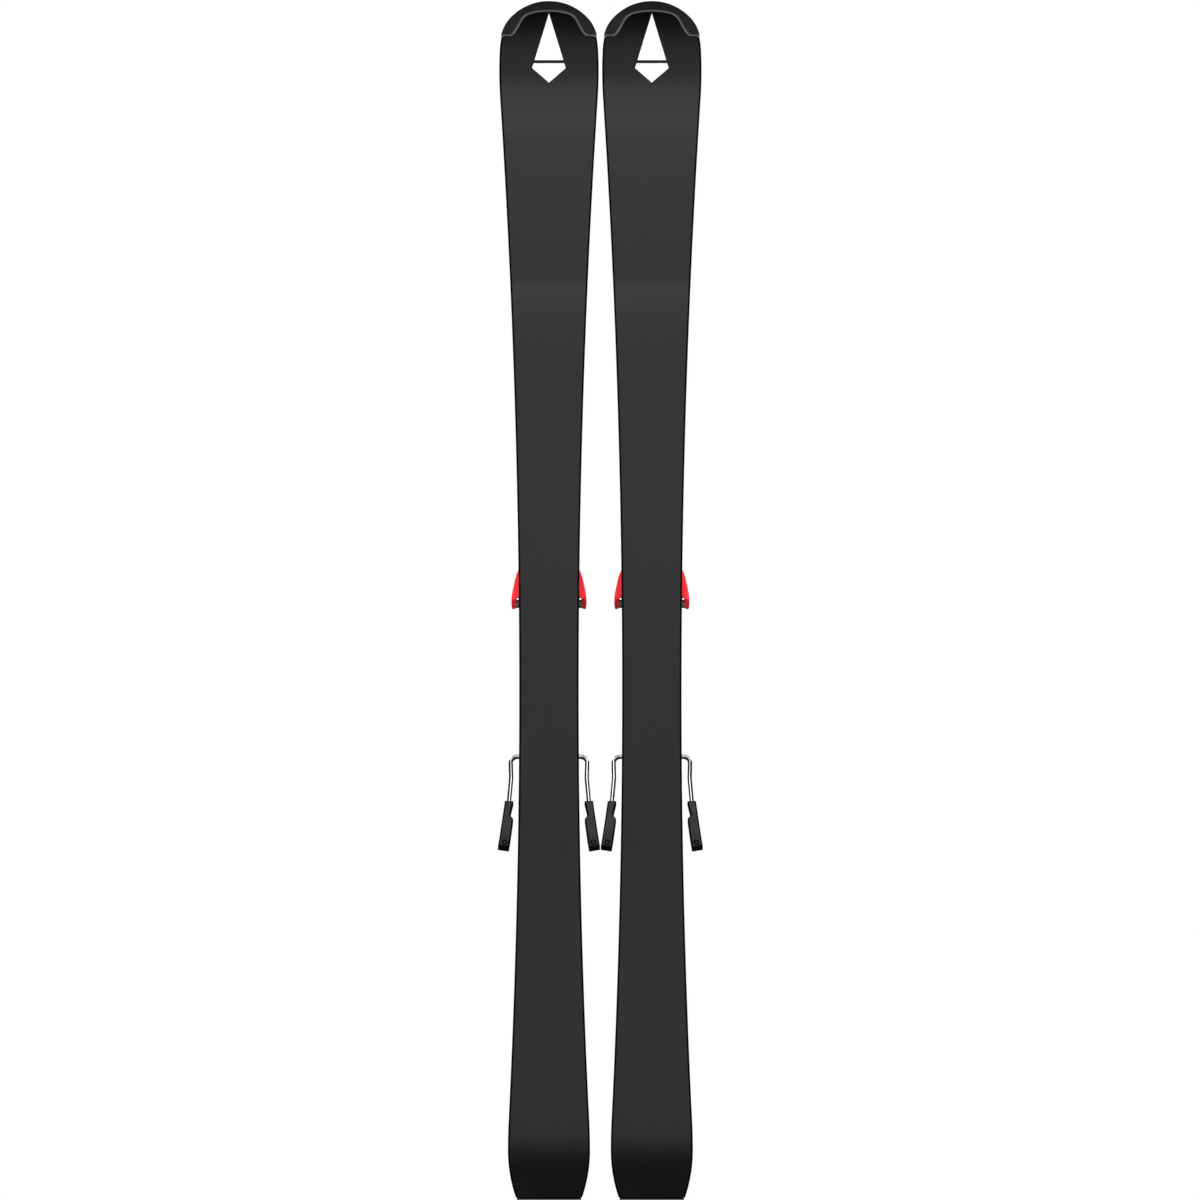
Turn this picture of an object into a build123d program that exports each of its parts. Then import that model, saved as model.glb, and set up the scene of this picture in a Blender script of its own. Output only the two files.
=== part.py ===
from build123d import *
import os
from math import cos, radians, sin

# A pair of alpine skis with their bindings, standing on their tails, in millimetres.
# +Z runs from the tails to the tips, +X across the pair, and +Y from the running
# surfaces to the bindings. The origin lies between the two tails, in the plane that
# the running surfaces touch. Both skis are alike, so each piece is modelled once on
# the plane X = 0 and written twice.

os.makedirs("parts", exist_ok=True)

# ---- The ski seen from above (half widths, and places along Z) ----
ski_length = 1500.0
ski_spacing = 128.7
tail_end_half_width = 40.15
# From the tail corner to the nose the outline is a chain of tangent arcs, each a radius
# and a turn to the left in degrees: tail corner, tail flare, rear and front sidecut
# (concave, so their turns are negative), shovel, shoulder and nose corner.
outline_arcs = (
    (180.0, 20.15),
    (760.0, 2.83),
    (10860.0, -2.83),
    (11555.0, -3.69),
    (512.5, 6.5),
    (120.0, 9.4),
    (44.6, 30.5),
)
# The last arc, the crown of the nose, ends straight across at the centre line.
crown_turn = 47.29
sidewall_start_z = 93.0
sidewall_end_z = 1240.0
sidewall_proud = 0.3
sidewall_width = 6.0
# The wood core and the sidewalls end before the bends; plastic spacers fill the ends.
core_start_z = 60.0
core_end_z = 1330.0
spacer_gap = 0.15

# ---- The ski seen from the side ----
camber = 4.0
tail_contact_z = 86.0
tip_contact_z = 1330.0
flat_start_z = 380.0
flat_end_z = 900.0
tail_bend_radius = 260.0
tail_bend_angle = 9.0
tip_bend_radius = 330.0
tip_bend_angle = 33.0
tail_thickness = 6.5
middle_thickness = 14.0
tip_thickness = 6.0

# ---- The layers of the ski ----
base_thickness = 1.4
edge_height = 2.0
edge_width = 2.1
top_sheet_thickness = 0.8
laminate_thickness = 0.6

# ---- Tip and tail guards ----
tip_guard_start_z = 1455.5
tip_guard_proud = 1.1
tip_guard_lip = 0.7
tail_guard_end = 3.0
tail_guard_lip = 1.0
tail_tongue_length = 26.0
tail_tongue_width = 58.0

# ---- The mounting rails ----
ski_top = camber + middle_thickness
rail_foot_half = 20.0
rail_foot_height = 2.5
rail_flange_half = 26.0
rail_height = 6.0
rail_top = ski_top + rail_height
toe_rail_z = (700.0, 880.0)
heel_rail_z = (350.0, 585.0)
toe_screw_z = (715.0, 865.0)
heel_screw_z = (365.0, 570.0)
screw_half_spacing = 13.0
screw_head_radius = 4.5
screw_head_height = 3.0
screw_radius = 2.6
screw_tip_y = 9.0

# ---- Fits ----
slide_gap = 0.1
pin_gap = 0.06
free_gap = 0.3

# ---- The boot that the bindings hold ----
sole_y = 44.0
boot_heel_lug = 30.0
boot_heel_z = 475.0

# ---- Sliders and their lock levers ----
slider_half_width = 31.0
toe_slider_z = (705.0, 862.0)
heel_slider_z = (372.0, 575.0)
lock_pivot_y = 27.2
lock_pin_radius = 2.2
lock_root_radius = 3.05
lock_half_width = 13.5
lock_lug_x = (14.0, 19.0)
lock_length = 30.0
toe_lock_z = toe_slider_z[1] + 5
heel_lock_z = heel_slider_z[0] - 5

# ---- Toe piece ----
toe_deck_y = 34.0
afd_bed_z = (708.0, 766.0)
afd_bed_y = 38.0
afd_plate_z = (712.0, 762.0)
afd_half_width = 31.0
afd_foot_half = 19.0
afd_foot_z = (728.0, 746.0)
afd_neck_z = (732.0, 742.0)
afd_foot_y = (toe_deck_y - 0.8, toe_deck_y + 1.6)
toe_housing_z = (770.0, 856.0)
toe_housing_half = 34.0
toe_housing_top = 80.0
wing_y = (50.0, 68.0)
wing_pocket_front_z = 806.0
web_half = 12.0
wing_pivot_x = 22.0
wing_pivot_z = 786.0
wing_root_radius = 9.0
wing_pin_radius = 3.0
wing_pin_y = (42.0, 76.0)
toe_screw_y = 57.0
toe_spring_room_z = (809.0, 837.0)
toe_recess_z = 842.0

# ---- Heel piece ----
heel_deck_y = 32.0
brake_deck_y = 27.0
cheek_z = (388.0, 432.0)
cheek_top_y = 58.0
cheek_inner = 30.0
cheek_outer = 35.0
heel_axle_y = 46.0
heel_axle_z = 410.0
heel_axle_radius = 4.0
heel_housing_half = 29.5
heel_screw_y = 66.0
heel_spring_room_z = (400.0, 444.0)
heel_recess_z = 395.0
lever_pivot_y = 80.0
lever_pivot_z = 430.0
lever_outer = 34.5
trunnion_radius = 3.0

# ---- Setting springs and their screws ----
spring_wire_radius = 1.5
spring_mean_radius = 8.5
spring_pitch = 5.0
spring_bore_radius = 11.5
setting_shaft_radius = 4.0
setting_head_radius = 7.2
setting_recess_radius = 8.0

# ---- Brake ----
brake_pivot_y = 33.0
brake_pivot_z = 554.4
brake_angle = 35.0
brake_wire_radius = 2.75
brake_bend_radius = 7.0
brake_lug_x = (26.0, 34.0)
brake_lug_radius = 7.5
pad_thickness = 9.0
pedal_half_width = 23.0
pedal_thickness = 8.5

reach = 200.0


# ======================= Shared outlines of the ski =======================
def band(start_z, end_z):
    """Keep only the part of the plan shape between two places along the ski."""
    with Locations((0, (start_z + end_z) / 2)):
        Rectangle(reach, end_z - start_z, mode=Mode.INTERSECT)


def side_line(tail_y, middle_y, tip_y):
    """One line of the side view, tail to tip: kicked tail, camber, flat middle, shovel."""
    tail_radius = tail_bend_radius - tail_y
    tail = CenterArc((tail_bend_radius, tail_contact_z), tail_radius, 180, tail_bend_angle)
    tail_end = tail @ 1 + (tail % 1) * tail_contact_z
    Line(tail @ 1, tail_end)
    Spline(tail @ 0, (middle_y, flat_start_z), tangents=[(0, 1), (0, 1)])
    Line((middle_y, flat_start_z), (middle_y, flat_end_z))
    tip_radius = tip_bend_radius - tip_y
    tip = CenterArc((tip_bend_radius, tip_contact_z), tip_radius, 180, -tip_bend_angle)
    Spline((middle_y, flat_end_z), tip @ 0, tangents=[(0, 1), (0, 1)])
    return tail_end, tip @ 1


def above_base(height):
    """The side line that lies this far above the running surface."""
    return height, camber + height, height


def below_top(depth):
    """The side line that lies this far below the top surface."""
    return tail_thickness - depth, ski_top - depth, tip_thickness - depth


def layer(low, high, plan):
    """Build one layer of the ski between two side lines, trimmed to a plan shape."""
    with BuildSketch(Plane.YZ.offset(-reach / 2)) as side_view:
        with BuildLine():
            low_tail, low_tip = side_line(*low)
            high_tail, high_tip = side_line(*high)
            Line(low_tail, high_tail)
            Line(low_tip, high_tip)
        make_face()
    extrude(side_view.sketch, amount=reach)
    extrude(plan.sketch, amount=reach, mode=Mode.INTERSECT)


# Plan shapes are drawn above the bindings and cut through towards the running surface.
plan_plane = Plane.XZ.offset(-reach / 2)


def plan_outline(inset=0.0):
    """The plan shape, drawn in by an inset: a chain of tangent arcs, mirrored."""
    with BuildSketch(plan_plane) as plan:
        with BuildLine():
            start_angle = radians(outline_arcs[0][1])
            outward = Vector(cos(start_angle), -sin(start_angle))
            end = Vector(tail_end_half_width, 0) - outward * inset
            heading = Vector(sin(start_angle), cos(start_angle))
            Line((0, end.Y), end)
            for radius, turn in outline_arcs:
                curve = JernArc(end, heading, radius - inset if turn > 0 else radius + inset, turn)
                end = curve @ 1
                heading = curve % 1
            crown_radius = end.X / cos(radians(90 - crown_turn))
            JernArc(end, heading, crown_radius, crown_turn)
            mirror(about=Plane.YZ)
        make_face()
    return plan.sketch_local


with BuildSketch(plan_plane) as inner_plan:
    add(plan_outline(edge_width))
    band(tail_guard_end, ski_length)

with BuildSketch(plan_plane) as full_plan:
    add(plan_outline())
    band(tail_guard_end, tip_guard_start_z)
    add(inner_plan.sketch_local)

with BuildSketch(plan_plane) as edge_plan:
    add(plan_outline())
    band(tail_guard_end, tip_guard_start_z)
    add(inner_plan.sketch_local, mode=Mode.SUBTRACT)

with BuildSketch(plan_plane) as proud_plan:
    add(plan_outline(-sidewall_proud))
    band(sidewall_start_z, sidewall_end_z)

with BuildSketch(plan_plane) as sidewall_plan:
    add(plan_outline())
    band(core_start_z, core_end_z)
    add(proud_plan.sketch_local)
    add(plan_outline(sidewall_width), mode=Mode.SUBTRACT)

with BuildSketch(plan_plane) as core_plan:
    add(plan_outline(sidewall_width))
    band(core_start_z, core_end_z)

with BuildSketch(plan_plane) as tail_spacer_plan:
    add(full_plan.sketch_local)
    band(0, core_start_z - spacer_gap)

with BuildSketch(plan_plane) as tip_spacer_plan:
    add(full_plan.sketch_local)
    band(core_end_z + spacer_gap, ski_length)

# ======================= The screws that hold the rails =======================
with BuildPart() as rail_screws:
    for pair_z in toe_screw_z + heel_screw_z:
        tip_plane = Plane(origin=(0, screw_tip_y, pair_z), x_dir=(1, 0, 0), z_dir=(0, 1, 0))
        shank_length = rail_top - screw_head_height - screw_tip_y
        with BuildSketch(tip_plane):
            with GridLocations(2 * screw_half_spacing, 1, 2, 1):
                Circle(screw_radius)
        extrude(amount=shank_length)
        with BuildSketch(tip_plane.offset(shank_length)):
            with GridLocations(2 * screw_half_spacing, 1, 2, 1):
                Circle(screw_head_radius)
        extrude(amount=screw_head_height)

# ======================= Ski =======================
with BuildPart() as base_sheet:
    layer(above_base(0), above_base(base_thickness), inner_plan)

with BuildPart() as steel_edges:
    layer(above_base(0), above_base(edge_height), edge_plan)

with BuildPart() as lower_laminate:
    layer(above_base(base_thickness), above_base(edge_height), inner_plan)

laminate_depth = top_sheet_thickness + laminate_thickness

with BuildPart() as upper_laminate:
    layer(below_top(laminate_depth), below_top(top_sheet_thickness), full_plan)
    add(rail_screws.part, mode=Mode.SUBTRACT)

with BuildPart() as laminates:
    add(lower_laminate.part)
    add(upper_laminate.part)

with BuildPart() as wood_core:
    layer(above_base(edge_height), below_top(laminate_depth), core_plan)
    add(rail_screws.part, mode=Mode.SUBTRACT)

with BuildPart() as side_strips:
    layer(above_base(edge_height), below_top(laminate_depth), sidewall_plan)

with BuildPart() as tail_spacer:
    layer(above_base(edge_height), below_top(laminate_depth), tail_spacer_plan)

with BuildPart() as tip_spacer:
    layer(above_base(edge_height), below_top(laminate_depth), tip_spacer_plan)

with BuildPart() as sidewalls:
    add(side_strips.part)
    add(tail_spacer.part)
    add(tip_spacer.part)

with BuildPart() as top_sheet:
    layer(below_top(top_sheet_thickness), below_top(0), full_plan)
    add(rail_screws.part, mode=Mode.SUBTRACT)

# ======================= Tip and tail guards =======================
with BuildPart() as nose_body:
    layer(above_base(0), below_top(0), full_plan)

with BuildSketch(plan_plane) as tip_guard_plan:
    add(plan_outline(-tip_guard_proud))
    band(tip_guard_start_z, ski_length + tip_guard_proud)
    with BuildLine():
        window = Polyline((0, 1486), (24, 1486), (29.5, 1480.6), (37, 1467), (45.4, tip_guard_start_z))
        Line(window @ 1, (0, tip_guard_start_z))
        mirror(about=Plane.YZ)
    make_face(mode=Mode.SUBTRACT)

with BuildPart() as tip_guard:
    layer(above_base(-tip_guard_lip), below_top(-tip_guard_lip), tip_guard_plan)
    add(nose_body.part, mode=Mode.SUBTRACT)

with BuildSketch(plan_plane) as tail_cap_plan:
    add(plan_outline())
    band(0, tail_guard_end)

with BuildSketch(plan_plane) as tail_tongue_plan:
    with Locations((0, tail_tongue_length / 2)):
        RectangleRounded(tail_tongue_width, tail_tongue_length, 6)

with BuildPart() as tail_cap:
    layer(above_base(0), below_top(-tail_guard_lip), tail_cap_plan)

with BuildPart() as tail_tongue:
    layer(below_top(0), below_top(-tail_guard_lip), tail_tongue_plan)

with BuildPart() as tail_guard:
    add(tail_cap.part)
    add(tail_tongue.part)


# ======================= Rails and what slides on them =======================
def rail(span):
    """A T-shaped rail: a narrow foot on the ski and a wider flange above it."""
    with BuildSketch(Plane.XY.offset(span[0])) as section:
        with Locations((0, ski_top + rail_foot_height / 2)):
            Rectangle(2 * rail_foot_half, rail_foot_height)
        with Locations((0, ski_top + (rail_foot_height + rail_height) / 2)):
            Rectangle(2 * rail_flange_half, rail_height - rail_foot_height)
    extrude(section.sketch, amount=span[1] - span[0])
    add(rail_screws.part, mode=Mode.SUBTRACT)


def block(x_span, y_span, z_span, mode=Mode.ADD):
    """A rectangular block between two corners."""
    middle = tuple((low + high) / 2 for low, high in (x_span, y_span, z_span))
    with Locations(middle):
        Box(x_span[1] - x_span[0], y_span[1] - y_span[0], z_span[1] - z_span[0], mode=mode)


def twin_blocks(x_span, y_span, z_span, mode=Mode.ADD):
    """The same block on both sides of the centre line."""
    block(x_span, y_span, z_span, mode)
    block((-x_span[1], -x_span[0]), y_span, z_span, mode)


def slider(span, deck_y):
    """A C-shaped slider that wraps the flange of its rail."""
    block((-slider_half_width, slider_half_width), (ski_top + free_gap, deck_y), span)
    flange_y = (ski_top + rail_foot_height - slide_gap, rail_top + slide_gap)
    flange_x = (-rail_flange_half - slide_gap, rail_flange_half + slide_gap)
    block(flange_x, flange_y, span, Mode.SUBTRACT)
    foot_x = (-rail_foot_half - slide_gap, rail_foot_half + slide_gap)
    block(foot_x, (ski_top, flange_y[0]), span, Mode.SUBTRACT)


def across(y, z, half_length, radius, mode=Mode.ADD):
    """A round pin or bore along X, centred on the ski."""
    with BuildSketch(Plane.YZ.offset(-half_length)) as section:
        with Locations((y, z)):
            Circle(radius)
    extrude(section.sketch, amount=2 * half_length, mode=mode)


def lock_lugs(pivot_z, end_z):
    """Two lugs at the end of a slider that carry its lock lever."""
    far_end_z = 2 * pivot_z - end_z
    lug_y = (rail_top + slide_gap, lock_pivot_y + 4.3)
    twin_blocks(lock_lug_x, lug_y, sorted((end_z, far_end_z)))
    across(lock_pivot_y, pivot_z, lock_lug_x[1], lock_pin_radius + pin_gap, Mode.SUBTRACT)


def lock_lever(pivot_z, tip_z):
    """A lock lever with its own cross pin: round at the pivot, so that it lifts freely above
    the rail, and thinner towards a finger lip at the tip."""
    toward_tip = 1 if tip_z > pivot_z else -1
    with BuildSketch(Plane.YZ.offset(-lock_half_width)) as side_view:
        with BuildLine():
            Polyline(
                (lock_pivot_y - 2.4, pivot_z),
                (lock_pivot_y - 2.4, tip_z - 2 * toward_tip),
                (lock_pivot_y - 1.0, tip_z),
                (lock_pivot_y + 2.6, tip_z),
                (lock_pivot_y + 2.6, tip_z - 4 * toward_tip),
                (lock_pivot_y + 1.4, tip_z - 7 * toward_tip),
                (lock_pivot_y + 3.4, pivot_z + 9 * toward_tip),
                (lock_pivot_y + lock_root_radius, pivot_z),
                close=True,
            )
        make_face()
        with Locations((lock_pivot_y, pivot_z)):
            Circle(lock_root_radius)
    extrude(side_view.sketch, amount=2 * lock_half_width)
    across(lock_pivot_y, pivot_z, lock_lug_x[1], lock_pin_radius)

with BuildPart() as toe_rail:
    rail(toe_rail_z)

with BuildPart() as heel_rail:
    rail(heel_rail_z)

with BuildPart() as toe_lock:
    lock_lever(toe_lock_z, toe_lock_z + lock_length)

with BuildPart() as heel_lock:
    lock_lever(heel_lock_z, heel_lock_z - lock_length)



# ======================= What the toe and heel pieces share =======================
def along_z(y, z_span, radius, mode=Mode.ADD):
    """A round rod or bore along Z, on the ski's centre line."""
    with BuildSketch(Plane.XY.offset(min(z_span))) as section:
        with Locations((0, y)):
            Circle(radius)
    extrude(section.sketch, amount=max(z_span) - min(z_span), mode=mode)


def setting_bores(y, room_z, recess_z, outside_z):
    """The spring room, shaft hole and head recess for one setting screw."""
    inner_z = room_z[0] if outside_z > recess_z else room_z[1]
    along_z(y, room_z, spring_bore_radius, Mode.SUBTRACT)
    along_z(y, (inner_z, outside_z), setting_shaft_radius + pin_gap, Mode.SUBTRACT)
    along_z(y, (recess_z, outside_z), setting_recess_radius, Mode.SUBTRACT)


def setting_screw(y, head_z, shaft_z, outward):
    """A setting screw along Z: a slotted round head and a plain shaft inside the spring."""
    along_z(y, (head_z, head_z + 7 * outward), setting_head_radius)
    along_z(y, (head_z, shaft_z), setting_shaft_radius)
    slot_z = sorted((head_z + 4.5 * outward, head_z + 8 * outward))
    block((-6, 6), (y - 0.9, y + 0.9), slot_z, Mode.SUBTRACT)


def setting_spring(y, start_z, length):
    """A coil spring around a setting screw, closed at neither end."""
    centre = (0, y, start_z)
    coil = Helix(spring_pitch, length, spring_mean_radius, center=centre, mode=Mode.PRIVATE)
    with BuildSketch(Plane(origin=coil @ 0, z_dir=coil % 0)) as section:
        Circle(spring_wire_radius)
    sweep(section.sketch, path=coil, is_frenet=True)


def wing_pins(mode=Mode.ADD):
    """The two upright pins that the toe wings swing on, or their bores."""
    foot = Plane(origin=(0, wing_pin_y[0], wing_pivot_z), x_dir=(1, 0, 0), z_dir=(0, 1, 0))
    with BuildSketch(foot) as section:
        with GridLocations(2 * wing_pivot_x, 1, 2, 1):
            Circle(wing_pin_radius)
    extrude(section.sketch, amount=wing_pin_y[1] - wing_pin_y[0], mode=mode)


# ======================= Toe piece =======================

with BuildPart() as toe_slider:
    slider(toe_slider_z, toe_deck_y)
    block((-28, 28), (toe_deck_y, afd_bed_y), afd_bed_z)
    groove_x = (-reach / 4, reach / 4)
    foot_y = (afd_foot_y[0] - slide_gap, afd_foot_y[1] + slide_gap)
    block(groove_x, foot_y, (afd_foot_z[0] - slide_gap, afd_foot_z[1] + slide_gap), Mode.SUBTRACT)
    neck_z = (afd_neck_z[0] - slide_gap, afd_neck_z[1] + slide_gap)
    block(groove_x, (foot_y[0], afd_bed_y), neck_z, Mode.SUBTRACT)
    lock_lugs(toe_lock_z, toe_slider_z[1])

with BuildPart() as afd_plate:
    block((-afd_half_width, afd_half_width), (afd_bed_y + slide_gap, sole_y), afd_plate_z)
    fillet(edges().filter_by(Axis.Y), 7)
    fillet(faces().sort_by(Axis.Y)[-1].edges(), 1.2)
    foot_x = (-afd_foot_half, afd_foot_half)
    block(foot_x, afd_foot_y, afd_foot_z)
    block(foot_x, (afd_foot_y[0], afd_bed_y + slide_gap), afd_neck_z)

with BuildPart() as toe_housing:
    with BuildSketch(Plane.YZ.offset(-toe_housing_half)):
        with BuildLine():
            Polyline(
                (toe_deck_y, toe_housing_z[0]),
                (toe_housing_top, toe_housing_z[0]),
                (toe_housing_top, 806),
                (72, 838),
                (46, toe_housing_z[1]),
                (toe_deck_y, toe_housing_z[1]),
                close=True,
            )
        make_face()
    extrude(amount=2 * toe_housing_half)
    fillet(edges().filter_by(Axis.X).group_by(Axis.Y)[-1], 5)
    front_corners = edges().filter_by(Axis.Y).group_by(Axis.Z)[-1]
    chamfer(front_corners, 12, 16)
    wing_room_y = (wing_y[0] - free_gap, wing_y[1] + free_gap)
    wing_room_z = (toe_housing_z[0], wing_pocket_front_z)
    twin_blocks((web_half, toe_housing_half), wing_room_y, wing_room_z, Mode.SUBTRACT)
    wing_pins(Mode.SUBTRACT)
    setting_bores(toe_screw_y, toe_spring_room_z, toe_recess_z, toe_housing_z[1] + 1)

with BuildPart() as toe_pins:
    wing_pins()

with BuildPart() as toe_wing_right:
    with BuildSketch(Plane.XZ.offset(-wing_y[0])):
        with BuildLine():
            outer = Spline(
                (27, 793.5),
                (34.8, 791.2),
                (40.4, 782.5),
                (45.2, 764.0),
                (47.0, 749.5),
                tangents=[(1, 0.1), (0, -1)],
            )
            cap = Polyline(outer @ 1, (45.9, 740.5), (43.8, 738.2), (40.8, 738.2), (38.4, 742))
            Polyline(cap @ 1, (37.4, 757), (35.0, 766), (27, 773), (18, 778), outer @ 0)
        make_face()
        with Locations((wing_pivot_x, wing_pivot_z)):
            Circle(wing_root_radius)
            Circle(wing_pin_radius + pin_gap, mode=Mode.SUBTRACT)
    extrude(amount=-(wing_y[1] - wing_y[0]))

with BuildPart() as toe_wing_left:
    mirror(toe_wing_right.part, about=Plane.YZ)


with BuildPart() as toe_setting_screw:
    setting_screw(toe_screw_y, toe_recess_z + free_gap, toe_spring_room_z[0] + 3, 1)

with BuildPart() as toe_spring:
    setting_spring(toe_screw_y, toe_spring_room_z[0] + 3, 21)

# ======================= Heel piece =======================
with BuildPart() as heel_slider:
    slider(heel_slider_z, brake_deck_y)
    block((-slider_half_width, slider_half_width), (brake_deck_y, heel_deck_y), (heel_slider_z[0], 468))
    twin_blocks((slider_half_width - 1, cheek_outer), (ski_top + free_gap, heel_deck_y), (380, 440))
    twin_blocks((cheek_inner, cheek_outer), (heel_deck_y, cheek_top_y), cheek_z)
    fillet(edges().filter_by(Axis.X).group_by(Axis.Y)[-1], 12)
    across(heel_axle_y, heel_axle_z, cheek_outer, heel_axle_radius, Mode.SUBTRACT)
    lug_z = (brake_pivot_z - brake_lug_radius, brake_pivot_z + brake_lug_radius)
    twin_blocks(brake_lug_x, (brake_deck_y - 3, brake_pivot_y + brake_lug_radius), lug_z)
    fillet(edges().filter_by(Axis.X).filter_by_position(
        Axis.Z, lug_z[0] - 1, lug_z[1] + 1).group_by(Axis.Y)[-1], 5)
    across(brake_pivot_y, brake_pivot_z, brake_lug_x[1] + 1, brake_wire_radius + 0.05, Mode.SUBTRACT)
    lock_lugs(heel_lock_z, heel_slider_z[0])

with BuildPart() as heel_axle:
    across(heel_axle_y, heel_axle_z, cheek_outer, heel_axle_radius)

with BuildPart() as heel_housing:
    with BuildSketch(Plane.YZ.offset(-heel_housing_half)):
        with BuildLine():
            Polyline(
                (36, 410),
                (37, 440),
                (42, 462),
                (44.5, 486),
                (82, 486),
                (94, 472),
                (99, 445),
                (92, 405),
                (76, 389),
                (50, 389),
                (38.5, 402),
                close=True,
            )
        make_face()
    extrude(amount=2 * heel_housing_half)
    fillet(edges().filter_by(Axis.X).group_by(Axis.Y)[-1], 8)
    cup_radius = 38.0
    cup_back_z = boot_heel_z - 3
    cup_low_y = sole_y + 6
    cup_high_y = sole_y + boot_heel_lug + 0.5
    cup_plane = Plane(origin=(0, cup_low_y, cup_back_z + cup_radius), x_dir=(1, 0, 0), z_dir=(0, 1, 0))
    with BuildSketch(cup_plane):
        Circle(cup_radius)
    extrude(amount=cup_high_y - cup_low_y, mode=Mode.SUBTRACT)
    across(heel_axle_y, heel_axle_z, cheek_outer, heel_axle_radius + pin_gap, Mode.SUBTRACT)
    across(lever_pivot_y, lever_pivot_z, cheek_outer, trunnion_radius + pin_gap, Mode.SUBTRACT)
    setting_bores(heel_screw_y, heel_spring_room_z, heel_recess_z, 380)

with BuildPart() as heel_setting_screw:
    setting_screw(heel_screw_y, heel_recess_z - free_gap, heel_spring_room_z[1] - 4, -1)

with BuildPart() as heel_spring:
    setting_spring(heel_screw_y, heel_spring_room_z[0] + 4, 35)

with BuildPart() as heel_lever:
    with BuildSketch(Plane.YZ.offset(-lever_outer)):
        with BuildLine():
            Polyline(
                (74, 427),
                (78, 436),
                (86, 436),
                (96, 415),
                (116, 372),
                (114, 364),
                (107, 366),
                (92, 395),
                close=True,
            )
        make_face()
    extrude(amount=2 * lever_outer)
    lever_inner = heel_housing_half + free_gap
    block((-lever_inner, lever_inner), (60, 130), (392, 450), Mode.SUBTRACT)
    across(lever_pivot_y, lever_pivot_z, lever_outer, trunnion_radius)
    block((-22, 22), (70, 90), (420, 440), Mode.SUBTRACT)

# ======================= Brake =======================
# The arms, pads and pedal lie in one plane through the pivot: local X is across the
# ski, and local Y runs from the pivot towards the pads, down and to the rear.
arm_down = Vector(0, -sin(radians(brake_angle)), -cos(radians(brake_angle)))
arm_plane = Plane(
    origin=(0, brake_pivot_y, brake_pivot_z),
    x_dir=(1, 0, 0),
    z_dir=Vector(1, 0, 0).cross(arm_down),
)

with BuildPart() as brake_arm:
    with BuildLine(arm_plane):
        wire = FilletPolyline(
            (16, -40),
            (16, 0),
            (48, 0),
            (47.3, 33.1),
            (50.2, 72),
            (54.6, 118),
            radius=brake_bend_radius,
        )
    with BuildSketch(Plane(origin=wire @ 0, z_dir=wire % 0)):
        Circle(brake_wire_radius)
    sweep(path=wire)

with BuildPart() as brake_arms:
    add(brake_arm.part)
    mirror(brake_arm.part, about=Plane.YZ)

with BuildPart() as brake_pad:
    with BuildSketch(arm_plane.offset(-pad_thickness / 2)):
        with BuildLine():
            Polyline(
                (44.3, 70.4),
                (55.0, 70.4),
                (57.8, 91),
                (58.5, 97),
                (62.4, 127.5),
                (63.5, 139.8),
                (50.2, 142.2),
                (48.1, 127.5),
                (44.5, 97),
                (47.6, 91),
                close=True,
            )
        make_face()
    extrude(amount=pad_thickness)
    add(brake_arms.part, mode=Mode.SUBTRACT)

with BuildPart() as brake_pads:
    add(brake_pad.part)
    mirror(brake_pad.part, about=Plane.YZ)

with BuildPart() as brake_pedal:
    with BuildSketch(arm_plane.offset(-pedal_thickness / 2)):
        with Locations((0, -36)):
            RectangleRounded(2 * pedal_half_width, 54, 9)
    extrude(amount=pedal_thickness)
    add(brake_arms.part, mode=Mode.SUBTRACT)


# ======================= Write each piece for both skis =======================
pieces = {
    "base_sheet": base_sheet,
    "steel_edges": steel_edges,
    "wood_core": wood_core,
    "sidewalls": sidewalls,
    "laminates": laminates,
    "top_sheet": top_sheet,
    "tip_guard": tip_guard,
    "tail_guard": tail_guard,
    "toe_rail": toe_rail,
    "heel_rail": heel_rail,
    "rail_screws": rail_screws,
    "toe_slider": toe_slider,
    "toe_housing": toe_housing,
    "toe_wing_left": toe_wing_left,
    "toe_wing_right": toe_wing_right,
    "toe_pins": toe_pins,
    "toe_spring": toe_spring,
    "toe_setting_screw": toe_setting_screw,
    "afd_plate": afd_plate,
    "toe_lock": toe_lock,
    "heel_slider": heel_slider,
    "heel_axle": heel_axle,
    "heel_housing": heel_housing,
    "heel_lever": heel_lever,
    "heel_spring": heel_spring,
    "heel_setting_screw": heel_setting_screw,
    "heel_lock": heel_lock,
    "brake_arms": brake_arms,
    "brake_pads": brake_pads,
    "brake_pedal": brake_pedal,
}

for side, side_x in (("left", -ski_spacing / 2), ("right", ski_spacing / 2)):
    for name, piece in pieces.items():
        placed = Pos(side_x, 0, 0) * piece.part
        placed.label = f"{side}_{name}"
        export_step(placed, f"parts/{side}_{name}.step")
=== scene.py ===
from math import atan2, ceil, cos, degrees, hypot, pi, radians, sin, sqrt, tan

import bmesh
import bpy
from mathutils import Matrix, Vector


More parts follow.
